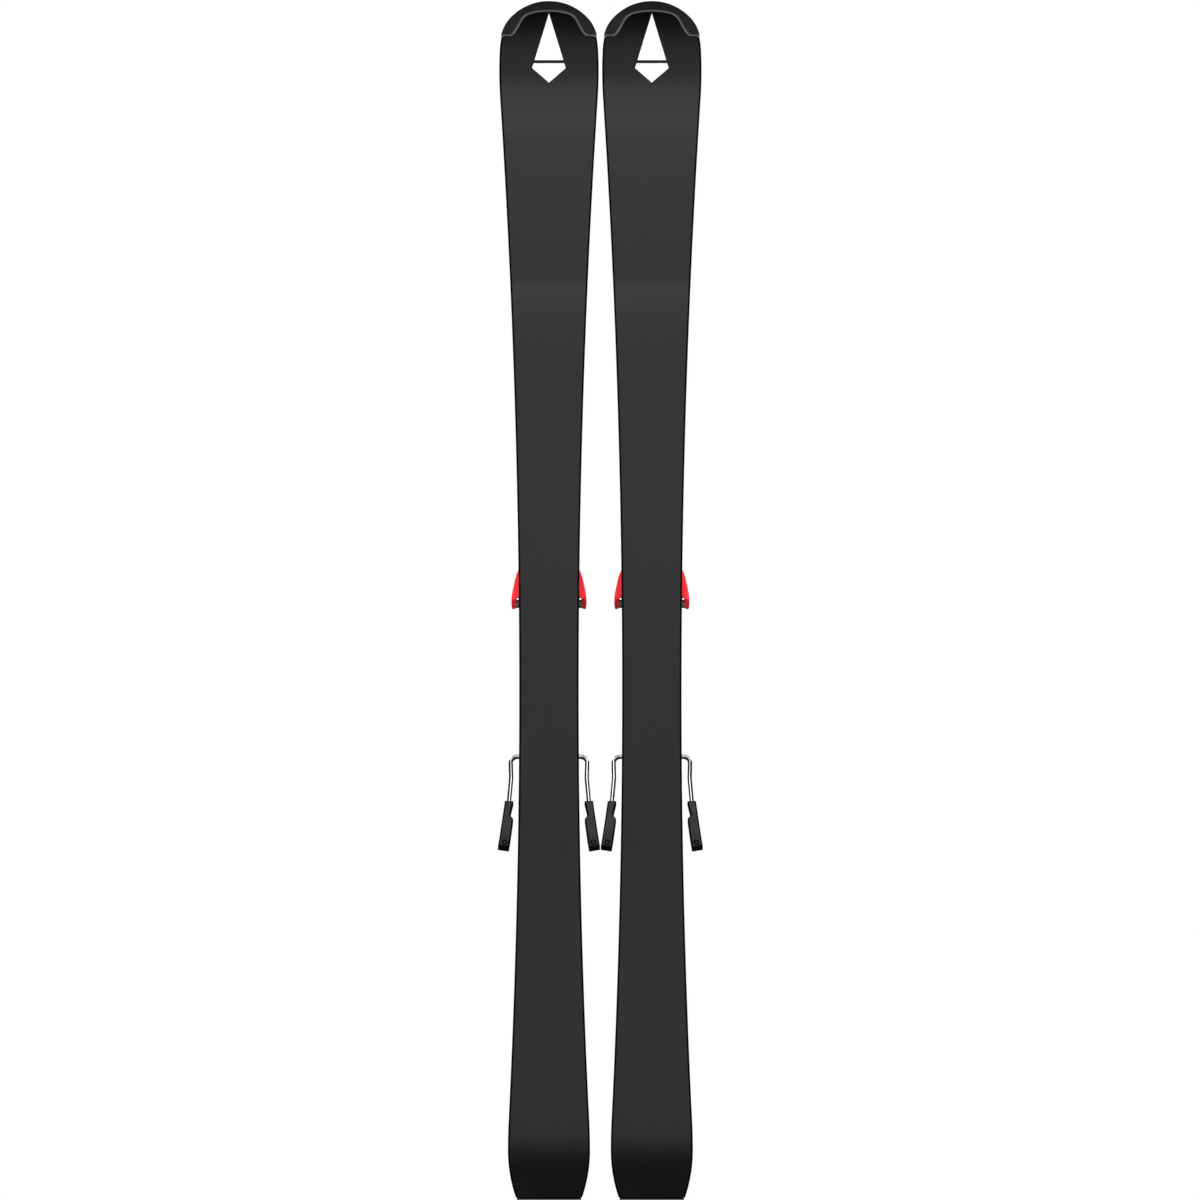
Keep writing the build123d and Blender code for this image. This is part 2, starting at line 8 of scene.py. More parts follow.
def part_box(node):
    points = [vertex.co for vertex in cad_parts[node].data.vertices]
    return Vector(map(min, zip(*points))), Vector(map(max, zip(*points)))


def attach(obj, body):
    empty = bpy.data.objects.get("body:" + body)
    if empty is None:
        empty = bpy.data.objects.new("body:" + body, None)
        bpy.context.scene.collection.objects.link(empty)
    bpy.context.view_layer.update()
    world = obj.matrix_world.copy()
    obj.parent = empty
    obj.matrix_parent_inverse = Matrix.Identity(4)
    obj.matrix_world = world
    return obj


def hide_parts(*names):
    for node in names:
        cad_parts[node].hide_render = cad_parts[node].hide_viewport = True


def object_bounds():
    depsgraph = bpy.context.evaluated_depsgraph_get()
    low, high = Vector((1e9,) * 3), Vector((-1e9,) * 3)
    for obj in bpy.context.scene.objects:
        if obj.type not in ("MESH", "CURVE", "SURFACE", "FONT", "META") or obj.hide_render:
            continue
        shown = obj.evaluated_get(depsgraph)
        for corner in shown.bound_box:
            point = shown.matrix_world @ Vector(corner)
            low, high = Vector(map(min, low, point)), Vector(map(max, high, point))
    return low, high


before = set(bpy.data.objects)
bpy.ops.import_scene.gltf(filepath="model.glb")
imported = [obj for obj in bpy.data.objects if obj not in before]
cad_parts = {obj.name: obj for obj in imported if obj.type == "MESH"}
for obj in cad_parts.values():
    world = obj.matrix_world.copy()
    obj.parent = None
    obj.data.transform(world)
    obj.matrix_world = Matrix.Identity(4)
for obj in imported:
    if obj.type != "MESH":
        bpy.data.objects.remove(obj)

# A pair of alpine skis with bindings, standing on their tails with the running surfaces
# towards -Y. Shapes are worked out in millimetres on one ski whose centre line is X = 0,
# and each piece is then placed on both skis.
cad_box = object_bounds()
MM = 0.001
SIDES = ("left", "right")
SKI_X = {side: sum(corner.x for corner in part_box(f"{side}_base_sheet")) / 2 for side in SIDES}

# ---- The ski's plan shape, as in the CAD model ----
# Arcs from the tail up: radius, and turn in degrees towards the middle of the ski. The
# last arc, round the nose, takes the radius that ends it on the centre line.
TAIL_END_HALF = 40.15
OUTLINE_ARCS = (
    (180.0, 20.15),
    (760.0, 2.83),
    (10860.0, -2.83),
    (11555.0, -3.69),
    (512.5, 6.5),
    (120.0, 9.4),
    (44.6, 30.5),
)
CROWN_TURN = 47.29

# ---- The ski's side view ----
CAMBER = 4.0
TAIL_CONTACT = 86.0
TIP_CONTACT = 1330.0
FLAT_START = 380.0
FLAT_END = 900.0
TAIL_RADIUS = 260.0
TAIL_ANGLE = 9.0
TIP_RADIUS = 330.0
TAIL_THICK = 6.5
MIDDLE_THICK = 14.0
TIP_THICK = 6.0
SKI_TOP = CAMBER + MIDDLE_THICK

# ---- Layers and guards ----
BASE_THICK = 1.4
EDGE_HEIGHT = 2.0
EDGE_WIDTH = 2.1
TOP_SHEET = 0.8
LAMINATE = 0.6
GUARD_START = 1455.5
GUARD_FOOT_END = 1455.7
GUARD_PROUD = 1.1
GUARD_LIP = 0.7
TAIL_END = 3.0
PAST_NOSE = 2000.0


# ======== Meshes and pieces ========
def mesh_from(name, points, faces):
    """A mesh from points in millimetres and faces, with doubles merged and normals outward."""
    mesh = bpy.data.meshes.new(name)
    mesh.from_pydata([tuple(c * MM for c in p) for p in points], [], faces)
    work = bmesh.new()
    work.from_mesh(mesh)
    bmesh.ops.remove_doubles(work, verts=work.verts, dist=2e-6)
    bmesh.ops.dissolve_degenerate(work, edges=work.edges, dist=1e-7)
    bmesh.ops.recalc_face_normals(work, faces=work.faces)
    work.to_mesh(mesh)
    work.free()
    return mesh


def shade(mesh, angle=35.0):
    """Smooth shading, with sharp edges where two faces meet at more than the angle."""
    limit = radians(angle)
    work = bmesh.new()
    work.from_mesh(mesh)
    sharp = [len(e.link_faces) != 2 or e.calc_face_angle(0) >= limit for e in work.edges]
    work.free()
    for polygon in mesh.polygons:
        polygon.use_smooth = True
    layer = mesh.attributes.get("sharp_edge") or mesh.attributes.new("sharp_edge", "BOOLEAN", "EDGE")
    layer.data.foreach_set("value", sharp)


def linked(name, data):
    """A new object in the scene that carries the data."""
    made = bpy.data.objects.new(name, data)
    bpy.context.scene.collection.objects.link(made)
    return made


def applied(carrier):
    """The carrier's mesh with its modifiers applied; the carrier goes."""
    graph = bpy.context.evaluated_depsgraph_get()
    result = bpy.data.meshes.new_from_object(carrier.evaluated_get(graph))
    bpy.data.objects.remove(carrier)
    return result


def with_modifiers(mesh, *modifiers):
    """The mesh after the given modifiers, each a type and a dict of its settings."""
    carrier = linked("worker", mesh)
    for kind, settings in modifiers:
        modifier = carrier.modifiers.new(kind.lower(), kind)
        for key, value in settings.items():
            setattr(modifier, key, value)
    return applied(carrier)


def joined(*meshes):
    """Several meshes as one."""
    work = bmesh.new()
    for mesh in meshes:
        work.from_mesh(mesh)
    result = bpy.data.meshes.new("joined")
    work.to_mesh(result)
    work.free()
    return result


def band(rows, around, first=0):
    """Faces of a closed band of rings of points: its sides, its start and its end."""
    faces = []
    for row in range(rows - 1):
        for k in range(around):
            a = first + row * around + k
            b = first + row * around + (k + 1) % around
            faces.append((a, b, b + around, a + around))
    faces.append(tuple(first + k for k in range(around)))
    faces.append(tuple(first + (rows - 1) * around + k for k in range(around)))
    return faces


def solid(outline, low, high, axis):
    """A prism: an outline across the axis, from low to high along it. The outline's points
    are (y, z) for a prism along x, (x, z) along y and (x, y) along z."""
    order = {"x": (2, 0, 1), "y": (0, 2, 1), "z": (0, 1, 2)}[axis]
    count = len(outline)
    points = []
    for end in (low, high):
        for first, second in outline:
            corner = (first, second, end)
            points.append(tuple(corner[k] for k in order))
    faces = [tuple(range(count)), tuple(range(2 * count - 1, count - 1, -1))]
    for k in range(count):
        after = (k + 1) % count
        faces.append((k, after, after + count, k + count))
    return mesh_from("solid", points, faces)


def rectangle(low_x, high_x, low_z, high_z):
    return [(low_x, low_z), (high_x, low_z), (high_x, high_z), (low_x, high_z)]


def block(x_span, y_span, z_span):
    """A rectangular prism between two corners."""
    return solid(rectangle(*x_span, *z_span), *y_span, "y")


def mirrored(mesh):
    """The mesh reflected in X = 0, with its faces turned back outward."""
    copy = mesh.copy()
    copy.transform(Matrix.Scale(-1, 4, (1, 0, 0)))
    copy.flip_normals()
    return copy


def both_sides(mesh):
    """The mesh and its reflection in X = 0, as one."""
    return joined(mesh, mirrored(mesh))


def rod(centre, radius, low, high, axis, sides=40):
    """A round prism."""
    angles = [2 * pi * k / sides for k in range(sides)]
    outline = [(centre[0] + radius * cos(a), centre[1] + radius * sin(a)) for a in angles]
    return solid(outline, low, high, axis)


def tilted(mesh, angle, y, z):
    """The mesh turned about X by an angle in degrees, and then moved to a place."""
    copy = mesh.copy()
    turn = Matrix.Rotation(radians(angle), 4, "X")
    copy.transform(Matrix.Translation((0, y * MM, z * MM)) @ turn)
    return copy


def rounded(corners, radius, steps=5):
    """A closed outline with its corners rounded; radius is one number or one per corner."""
    count = len(corners)
    outline = []
    for k, corner in enumerate(corners):
        size = radius[k] if isinstance(radius, (list, tuple)) else radius
        here = Vector(corner)
        back = Vector(corners[k - 1]) - here
        ahead = Vector(corners[(k + 1) % count]) - here
        half = back.angle(ahead) / 2
        reach = min(size / max(tan(half), 1e-3), back.length * 0.48, ahead.length * 0.48)
        start = here + back.normalized() * reach
        end = here + ahead.normalized() * reach
        for step in range(steps + 1):
            t = step / steps
            point = start * (1 - t) ** 2 + here * 2 * t * (1 - t) + end * t**2
            outline.append(tuple(point))
    return outline


def cad(node):
    """A copy of a CAD node's mesh, taken from the left ski and centred on X = 0."""
    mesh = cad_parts[f"left_{node}"].data.copy()
    mesh.transform(Matrix.Translation((-SKI_X["left"], 0, 0)))
    mesh.materials.clear()
    return mesh


def combined(mesh, tool, operation="DIFFERENCE"):
    """The mesh after a boolean operation with the tool's volume."""
    carrier = linked("worker", mesh)
    helper = linked("tool", tool)
    modifier = carrier.modifiers.new("combine", "BOOLEAN")
    modifier.operation = operation
    modifier.object = helper
    modifier.solver = "EXACT"
    modifier.use_self = True
    result = applied(carrier)
    bpy.data.objects.remove(helper)
    return result


def moulded_from(mesh, cuts=(), keep=None, voxel=0.7, smooth=4, ratio=0.3):
    """A moulded body: material is cut away, then every edge is softened."""
    if cuts:
        mesh = combined(mesh, joined(*cuts))
    if keep is not None:
        mesh = combined(mesh, keep, "INTERSECT")
    result = with_modifiers(
        mesh,
        ("REMESH", dict(mode="VOXEL", voxel_size=voxel * MM)),
        ("SMOOTH", dict(factor=0.5, iterations=smooth)),
        ("DECIMATE", dict(ratio=ratio)),
    )
    shade(result, 55)
    return result


def bevelled(mesh, width):
    """The mesh with its sharp edges rounded."""
    rounding = dict(width=width * MM, segments=3, limit_method="ANGLE", angle_limit=radians(30))
    result = with_modifiers(mesh, ("BEVEL", rounding))
    shade(result, 40)
    return result


def place(name, mesh, finishes, body, replaced=()):
    """Put one mesh on both skis as a piece that rides on a body and stands for CAD nodes."""
    for finish in finishes:
        mesh.materials.append(MATERIALS[finish])
    for side in SIDES:
        piece = linked(f"{side}_{name}", mesh)
        piece.location.x = SKI_X[side]
        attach(piece, f"{side}_{body}")
        if replaced:
            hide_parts(*[f"{side}_{node}" for node in replaced])


def remoulded(name, node, cuts, body, slot, **settings):
    """Stand in for a CAD node with a black moulding of it that has cuts taken out."""
    place(name, moulded_from(cad(node), cuts, **settings), ("black",), body, [node])


def finish_node(name, finish):
    """Give a CAD node that stays as it is its material on both skis."""
    for side in SIDES:
        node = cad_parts[f"{side}_{name}"]
        node.data.materials.clear()
        node.data.materials.append(MATERIALS[finish])
        shade(node.data, 30)


# ======== The ski's lines ========
def outline():
    """The half outline from tail to nose as (x, z, normal x, normal z)."""
    heading = radians(OUTLINE_ARCS[0][1])
    x, z = TAIL_END_HALF, 0.0
    samples = [(x, z, cos(heading), -sin(heading))]

    def follow(radius, turn):
        nonlocal heading, x, z
        bend = 1 if turn > 0 else -1
        centre_x = x - bend * radius * cos(heading)
        centre_z = z + bend * radius * sin(heading)
        count = max(ceil(radius * radians(abs(turn)) / 6.0), ceil(abs(turn) / 1.5))
        start = heading
        for step in range(1, count + 1):
            heading = start - radians(turn) * step / count
            x = centre_x + bend * radius * cos(heading)
            z = centre_z - bend * radius * sin(heading)
            samples.append((x, z, cos(heading), -sin(heading)))

    for radius, turn in OUTLINE_ARCS:
        follow(radius, turn)
    follow(x / cos(radians(90 - CROWN_TURN)), CROWN_TURN)
    return samples


def ease(t):
    return t * t * (3 - 2 * t)


def line_y(z, tail_y, middle_y, tip_y):
    """Height of one side line at z: kicked tail, camber, flat middle, shovel."""
    if z < TAIL_CONTACT:
        radius = TAIL_RADIUS - tail_y
        bend_end = TAIL_CONTACT - radius * sin(radians(TAIL_ANGLE))
        if z > bend_end:
            return TAIL_RADIUS - sqrt(radius**2 - (TAIL_CONTACT - z) ** 2)
        rise = (bend_end - z) * tan(radians(TAIL_ANGLE))
        return TAIL_RADIUS - radius * cos(radians(TAIL_ANGLE)) + rise
    if z < FLAT_START:
        t = (z - TAIL_CONTACT) / (FLAT_START - TAIL_CONTACT)
        return tail_y + (middle_y - tail_y) * ease(t)
    if z < FLAT_END:
        return middle_y
    if z < TIP_CONTACT:
        t = (z - FLAT_END) / (TIP_CONTACT - FLAT_END)
        return middle_y + (tip_y - middle_y) * ease(t)
    radius = TIP_RADIUS - tip_y
    return TIP_RADIUS - sqrt(radius**2 - (z - TIP_CONTACT) ** 2)


def base_y(z, height=0.0):
    """The running surface, or the line this far above it."""
    return line_y(z, height, CAMBER + height, height)


def top_y(z, depth=0.0):
    """The top surface, or the line this far below it."""
    return line_y(z, TAIL_THICK - depth, SKI_TOP - depth, TIP_THICK - depth)


OUTLINE = outline()


def outline_at(z_wanted):
    """The outline sample at a place along the ski."""
    for low, high in zip(OUTLINE, OUTLINE[1:]):
        if low[1] <= z_wanted <= high[1]:
            t = (z_wanted - low[1]) / (high[1] - low[1])
            return tuple(a + (b - a) * t for a, b in zip(low, high))
    return OUTLINE[-1]


def stations(start_z, end_z):
    """Outline samples between two places along the ski, both ends included."""
    inside = [s for s in OUTLINE if start_z + 0.5 < s[1] < end_z - 0.5]
    last = [OUTLINE[-1]] if end_z >= OUTLINE[-1][1] else [outline_at(end_z)]
    return [outline_at(start_z)] + inside + last


def ski_loft(name, corners, start_z=TAIL_END, end_z=PAST_NOSE, nose_inset=0.0):
    """A closed band along the ski. Each corner is (inset, line, offset), from the middle of
    the underside round the right edge to the middle of the top; the left side is mirrored."""
    points = []
    rows = stations(start_z, end_z)
    for x, z, normal_x, normal_z in rows:
        ring = []
        for inset, line, offset in corners:
            inset += nose_inset if z > GUARD_START else 0.0
            corner_z = z - inset * normal_z
            ring.append((max(x - inset * normal_x, 0.0), line(corner_z, offset), corner_z))
        points += ring + [(-px, py, pz) for px, py, pz in reversed(ring)]
    mesh = mesh_from(name, points, band(len(rows), 2 * len(corners)))
    shade(mesh)
    return mesh


def side_bands(name, corners, start_z, end_z):
    """The same closed section run along both sides of the ski, as two strips."""
    rows = stations(start_z, end_z)
    points = []
    faces = []
    for mirror in (1, -1):
        first = len(points)
        for x, z, normal_x, normal_z in rows:
            for inset, line, offset in corners:
                corner_z = z - inset * normal_z
                points.append((mirror * (x - inset * normal_x), line(corner_z, offset), corner_z))
        faces += band(len(rows), len(corners), first)
    mesh = mesh_from(name, points, faces)
    shade(mesh)
    return mesh


# ======== Materials ========
class Nodes:
    """A small helper for building a node tree."""

    def __init__(self, tree):
        self.tree = tree

    def link(self, source, target):
        self.tree.links.new(source, target)

    def node(self, kind, **settings):
        made = self.tree.nodes.new(kind)
        for key, value in settings.items():
            setattr(made, key, value)
        return made

    def stretched(self, scale):
        """Object coordinates, stretched per axis."""
        coordinates = self.node("ShaderNodeTexCoord")
        mapping = self.node("ShaderNodeMapping")
        mapping.inputs["Scale"].default_value = scale
        self.link(coordinates.outputs["Object"], mapping.inputs["Vector"])
        return mapping.outputs["Vector"]

    def noise(self, size, detail=3.0, stretch=(1.0, 1.0, 1.0)):
        """Noise whose cells are about size metres across."""
        made = self.node("ShaderNodeTexNoise")
        made.inputs["Scale"].default_value = 1.0 / size
        made.inputs["Detail"].default_value = detail
        made.inputs["Roughness"].default_value = 0.55
        self.link(self.stretched(stretch), made.inputs["Vector"])
        return made.outputs["Fac"]

    def ramp(self, value, stops):
        """A colour ramp; each stop is a position and a colour or a grey."""
        made = self.node("ShaderNodeValToRGB")
        elements = made.color_ramp.elements
        while len(elements) < len(stops):
            elements.new(0.5)
        for element, (position, tone) in zip(elements, stops):
            element.position = position
            element.color = (*tone, 1.0) if isinstance(tone, tuple) else (tone, tone, tone, 1.0)
        self.link(value, made.inputs["Fac"])
        return made.outputs["Color"]

    def span(self, value, low, high):
        """The value mapped from 0..1 to low..high."""
        made = self.node("ShaderNodeMapRange")
        made.inputs["To Min"].default_value = low
        made.inputs["To Max"].default_value = high
        self.link(value, made.inputs["Value"])
        return made.outputs["Result"]

    def mix(self, factor, first, second):
        """The first colour where the factor is 0, the second where it is 1."""
        made = self.node("ShaderNodeMix", data_type="RGBA")
        for socket, source in ((0, factor), (6, first), (7, second)):
            self.link(source, made.inputs[socket])
        return made.outputs[2]

    def math(self, operation, first, second=0.0):
        """A sum of two numbers or sockets, or another operation on them."""
        made = self.node("ShaderNodeMath", operation=operation)
        for socket, value in zip(made.inputs, (first, second)):
            if isinstance(value, (int, float)):
                socket.default_value = value
            else:
                self.link(value, socket)
        return made.outputs[0]


class Surface(Nodes):
    """A material with one shader whose sockets are set here or fed by other nodes."""

    def __init__(self, name, color, roughness, **sockets):
        self.material = bpy.data.materials.new(name)
        self.material.use_nodes = True
        super().__init__(self.material.node_tree)
        self.shader = self.tree.nodes["Principled BSDF"]
        self.set("Base Color", (*color, 1.0))
        self.set("Roughness", roughness)
        for socket, value in sockets.items():
            self.set(socket.replace("_", " "), value)
        self.material.diffuse_color = (*color, 1.0)

    def set(self, socket, value):
        self.shader.inputs[socket].default_value = value

    def color(self, source):
        self.link(source, self.shader.inputs["Base Color"])

    def rough(self, source):
        self.link(source, self.shader.inputs["Roughness"])

    def bump(self, height, strength, distance):
        made = self.node("ShaderNodeBump")
        made.inputs["Strength"].default_value = strength
        made.inputs["Distance"].default_value = distance
        self.link(height, made.inputs["Height"])
        self.link(made.outputs["Normal"], self.shader.inputs["Normal"])


def running_base():
    """Black sintered base: stone-ground lines along the ski and a faint wax haze."""
    n = Surface("running_base", (0.0035, 0.0035, 0.0038), 0.30)
    haze = n.noise(0.06, stretch=(1.0, 1.0, 0.25))
    n.color(n.ramp(haze, ((0.3, (0.0024, 0.0024, 0.0026)), (0.7, (0.0034, 0.0034, 0.0036)))))
    lines = n.noise(0.0012, detail=2.0, stretch=(1.0, 1.0, 0.01))
    n.rough(n.span(n.math("MULTIPLY", haze, lines), 0.18, 0.28))
    n.bump(lines, 0.08, 0.00004)
    return n.material


def ground_steel(name, color, roughness):
    """Edge steel with fine grinding marks along the ski."""
    n = Surface(name, color, roughness, Metallic=1.0)
    marks = n.noise(0.0006, detail=2.0, stretch=(1.0, 1.0, 0.02))
    dark = tuple(c * 0.7 for c in color)
    n.color(n.ramp(marks, ((0.3, dark), (0.7, color))))
    n.rough(n.span(marks, roughness * 0.8, roughness * 1.3))
    n.bump(marks, 0.2, 0.00003)
    return n.material


def moulded(name, color, roughness, grain=0.0009, strength=0.35, **sockets):
    """Injection-moulded plastic: fine grain, slight colour drift and uneven gloss."""
    n = Surface(name, color, roughness, **sockets)
    drift = n.noise(0.03)
    dark = tuple(c * 0.82 for c in color)
    light = tuple(min(c * 1.15 + 0.002, 1.0) for c in color)
    n.color(n.ramp(drift, ((0.3, dark), (0.7, light))))
    n.rough(n.span(n.noise(0.008), roughness * 0.85, min(roughness * 1.2, 1.0)))
    n.bump(n.noise(grain, detail=2.0), strength, 0.00005)
    return n.material


def bright_steel(name, color, roughness, bump=0.06, **sockets):
    """Plated or drawn steel with faint lengthwise marks."""
    n = Surface(name, color, roughness, Metallic=1.0, **sockets)
    marks = n.noise(0.0008, detail=2.0, stretch=(1.0, 1.0, 0.05))
    n.rough(n.span(marks, roughness * 0.7, roughness * 1.4))
    n.color(n.ramp(marks, ((0.25, tuple(c * 0.9 for c in color)), (0.75, color))))
    n.bump(marks, bump, 0.00002)
    return n.material


def top_sheet_graphic():
    """Glossy top sheet: black with slanted red bands at both ends under clear lacquer."""
    n = Surface("top_sheet_graphic", (0.02, 0.02, 0.022), 0.24, Coat_Weight=1.0, Coat_Roughness=0.06)
    coordinates = n.node("ShaderNodeTexCoord")
    split = n.node("ShaderNodeSeparateXYZ")
    n.link(coordinates.outputs["Object"], split.inputs["Vector"])
    along = split.outputs["Z"]
    across = n.math("ABSOLUTE", split.outputs["X"])
    slant = n.math("ADD", along, n.math("MULTIPLY", across, 1.6))

    def stripe(value, middle, half_width):
        distance = n.math("ABSOLUTE", n.math("SUBTRACT", value, middle))
        return n.math("LESS_THAN", distance, half_width)

    tip_field = n.math("GREATER_THAN", slant, 1.12)
    tip_gap = stripe(slant, 1.20, 0.012)
    tail_slant = n.math("SUBTRACT", along, n.math("MULTIPLY", across, 1.6))
    tail_field = n.math("LESS_THAN", tail_slant, 0.20)
    tail_gap = stripe(tail_slant, 0.14, 0.010)
    field = n.math("MAXIMUM", tip_field, tail_field)
    gap = n.math("MAXIMUM", tip_gap, tail_gap)
    pinstripe = stripe(across, 0.024, 0.0011)
    shimmer = n.noise(0.0018, detail=1.0)
    black = n.ramp(shimmer, ((0.3, (0.012, 0.012, 0.013)), (0.7, (0.022, 0.022, 0.024))))
    red = n.ramp(shimmer, ((0.3, (0.50, 0.008, 0.012)), (0.7, (0.62, 0.013, 0.018))))
    grey = n.ramp(shimmer, ((0.3, 0.30), (0.7, 0.42)))
    painted = n.mix(field, black, red)
    painted = n.mix(gap, painted, black)
    painted = n.mix(n.math("MULTIPLY", pinstripe, n.math("SUBTRACT", 1.0, field)), painted, grey)
    n.color(painted)
    n.bump(n.noise(0.0016, detail=1.0), 0.06, 0.00003)
    return n.material


MATERIALS = {
    "base": running_base(),
    # Painted shade: a near-black copy of the edge steel for the faces under the base and round its
    # corner.
    "edge_painted_shade": ground_steel("edge_steel_painted_shade", (0.004, 0.004, 0.0045), 0.40),
    "edge_side": ground_steel("edge_steel_bright", (0.42, 0.42, 0.43), 0.30),
    "sidewall": moulded("sidewall_black", (0.010, 0.010, 0.011), 0.38, grain=0.0012),
    "laminate": moulded("laminate_edge", (0.05, 0.045, 0.03), 0.5),
    "core": moulded("core_end", (0.30, 0.20, 0.10), 0.7),
    "guard": moulded("guard_plastic", (0.007, 0.007, 0.0073), 0.38, grain=0.0007),
    # Painted highlight: a lighter grey for the front of the tip guard's rim.
    "rim": moulded("guard_painted_highlight", (0.060, 0.060, 0.061), 0.5, grain=0.0007),
    "tail": moulded("tail_plastic", (0.010, 0.010, 0.0103), 0.42, grain=0.0007),
    "top": top_sheet_graphic(),
    "mark": moulded("tip_mark_white", (0.92, 0.92, 0.92), 0.4, grain=0.002, strength=0.05),
    "red": moulded("binding_red", (0.86, 0.010, 0.024), 0.24, strength=0.12, Coat_Weight=0.5,
                   Coat_Roughness=0.10),
    # Painted glow: this red carries an emission, so the wings give off light of their own on top of the
    # lamps.
    "wing_red": moulded("wing_red", (0.98, 0.008, 0.022), 0.30, strength=0.12,
                        Emission_Color=(1.0, 0.01, 0.03, 1.0), Emission_Strength=0.22),
    # Painted shade: a darker copy of the red for the wings' downward-facing faces.
    "painted_shade_red": moulded("wing_facet_painted_shade", (0.52, 0.004, 0.010), 0.42, strength=0.12,
                         Specular_IOR_Level=0.25),
    "black": moulded("binding_black", (0.016, 0.016, 0.017), 0.42),
    "pad": moulded("pad_black", (0.027, 0.027, 0.0275), 0.5, grain=0.0007, Specular_IOR_Level=0.2),
    # Painted shade: a darker copy of the pad plastic for the pads' toe end.
    "pad_painted_shade": moulded("painted_shade_pad_plastic", (0.022, 0.022, 0.022), 0.5, grain=0.0007,
                       Specular_IOR_Level=0.2),
    # Near black: the fork's own colour, and painted shade on the tip guard's sides, the tail guard's
    # neck and the pads' edges, ring recess and end band.
    "black_and_painted_shade": moulded("near_black_and_painted_shade", (0.001, 0.001, 0.001), 0.6, grain=0.0006,
                       Specular_IOR_Level=0.03),
    "roller": moulded("roller_grey", (0.075, 0.077, 0.066), 0.40, grain=0.0006),
    "wire": bright_steel("brake_wire", (0.86, 0.86, 0.88), 0.08, bump=0.01,
                         Specular_Tint=(0.0, 0.0, 0.0, 1.0)),
    "steel": bright_steel("plain_steel", (0.55, 0.55, 0.57), 0.28),
    "rail": moulded("rail_black", (0.03, 0.03, 0.032), 0.35, Metallic=0.6),
    "glide": moulded("glide_grey", (0.20, 0.20, 0.21), 0.3),
    "white": moulded("scale_white", (0.75, 0.75, 0.74), 0.45, strength=0.05),
}


# ======== Ski pieces ========
def white_mark():
    """A plain white kite with a dark bar across it, inlaid in the base below the tip guard."""
    top_z, wide_z, low_z, half = 1484.5, 1416.0, 1398.0, 21.0
    bar = (1422.0, 1426.0)
    proud, sunk = -0.06, 0.4
    count = 20
    strips = []
    for start, end in ((low_z, bar[0]), (bar[1], top_z)):
        points = []
        for step in range(count + 1):
            z = start + (end - start) * step / count
            share = (z - low_z) / (wide_z - low_z) if z < wide_z else (top_z - z) / (top_z - wide_z)
            width = max(half * share, 0.05)
            for x, height in ((width, proud), (-width, proud), (-width, sunk), (width, sunk)):
                points.append((x, base_y(z, height), z))
        strips.append(mesh_from("tip_mark", points, band(count + 1, 4)))
    mesh = joined(*strips)
    shade(mesh)
    return mesh


# The free edge of the tip guard, as (x, z), from its foot at the side to the middle.
GUARD_INNER = (
    (49.6, 1455.8), (45.9, 1456.6), (42.0, 1460.8), (37.6, 1467.4), (33.6, 1475.0),
    (29.3, 1480.4), (22.5, 1483.6), (12.0, 1485.7), (0.0, 1486.4),
)


def catmull(route, steps, beyond=None):
    """Points on a smooth curve through a route of plane points. A point beyond the route's
    end sets the direction the curve leaves in."""
    points = []
    for k in range(len(route) - 1):
        before, here, after = route[max(k - 1, 0)], route[k], route[k + 1]
        then = route[k + 2] if k + 2 < len(route) else beyond or route[-1]
        for step in range(steps):
            t = step / steps
            points.append(
                tuple(
                    0.5 * (2 * b + (c - a) * t + (2 * a - 5 * b + 4 * c - d) * t**2
                           + (3 * b - a - 3 * c + d) * t**3)
                    for a, b, c, d in zip(before, here, after, then)
                )
            )
    points.append(route[-1])
    return points


def lengths_along(points):
    """The distance from the first point to each point, along the line through them."""
    lengths = [0.0]
    for a, b in zip(points, points[1:]):
        lengths.append(lengths[-1] + hypot(b[0] - a[0], b[1] - a[1]))
    return lengths


def spaced(points, count):
    """Points at even distances along a line of points."""
    lengths = lengths_along(points)
    result = []
    k = 0
    for step in range(count):
        wanted = lengths[-1] * step / (count - 1)
        while k < len(points) - 2 and lengths[k + 1] < wanted:
            k += 1
        t = (wanted - lengths[k]) / (lengths[k + 1] - lengths[k])
        result.append(tuple(a + (b - a) * t for a, b in zip(points[k], points[k + 1])))
    return result


def guard_lift(gap):
    """How far the guard stands above its lip, by the distance from its inner edge: a soft
    rise to a rounded rim, then down to the plain lip."""
    rise, fall = 1.6, 1.8
    edge_lift, rim_lift = -0.45, 0.5
    if gap < rise:
        return edge_lift + (rim_lift - edge_lift) * ease(gap / rise)
    return rim_lift * (1 - ease(min((gap - rise) / fall, 1.0)))


def guard_gap(x, z, inner_line):
    """Distance in from the guard's free edge: its inner line, or the end of its foot."""
    return min(min(hypot(x - ax, z - az) for ax, az in inner_line), z - GUARD_FOOT_END)


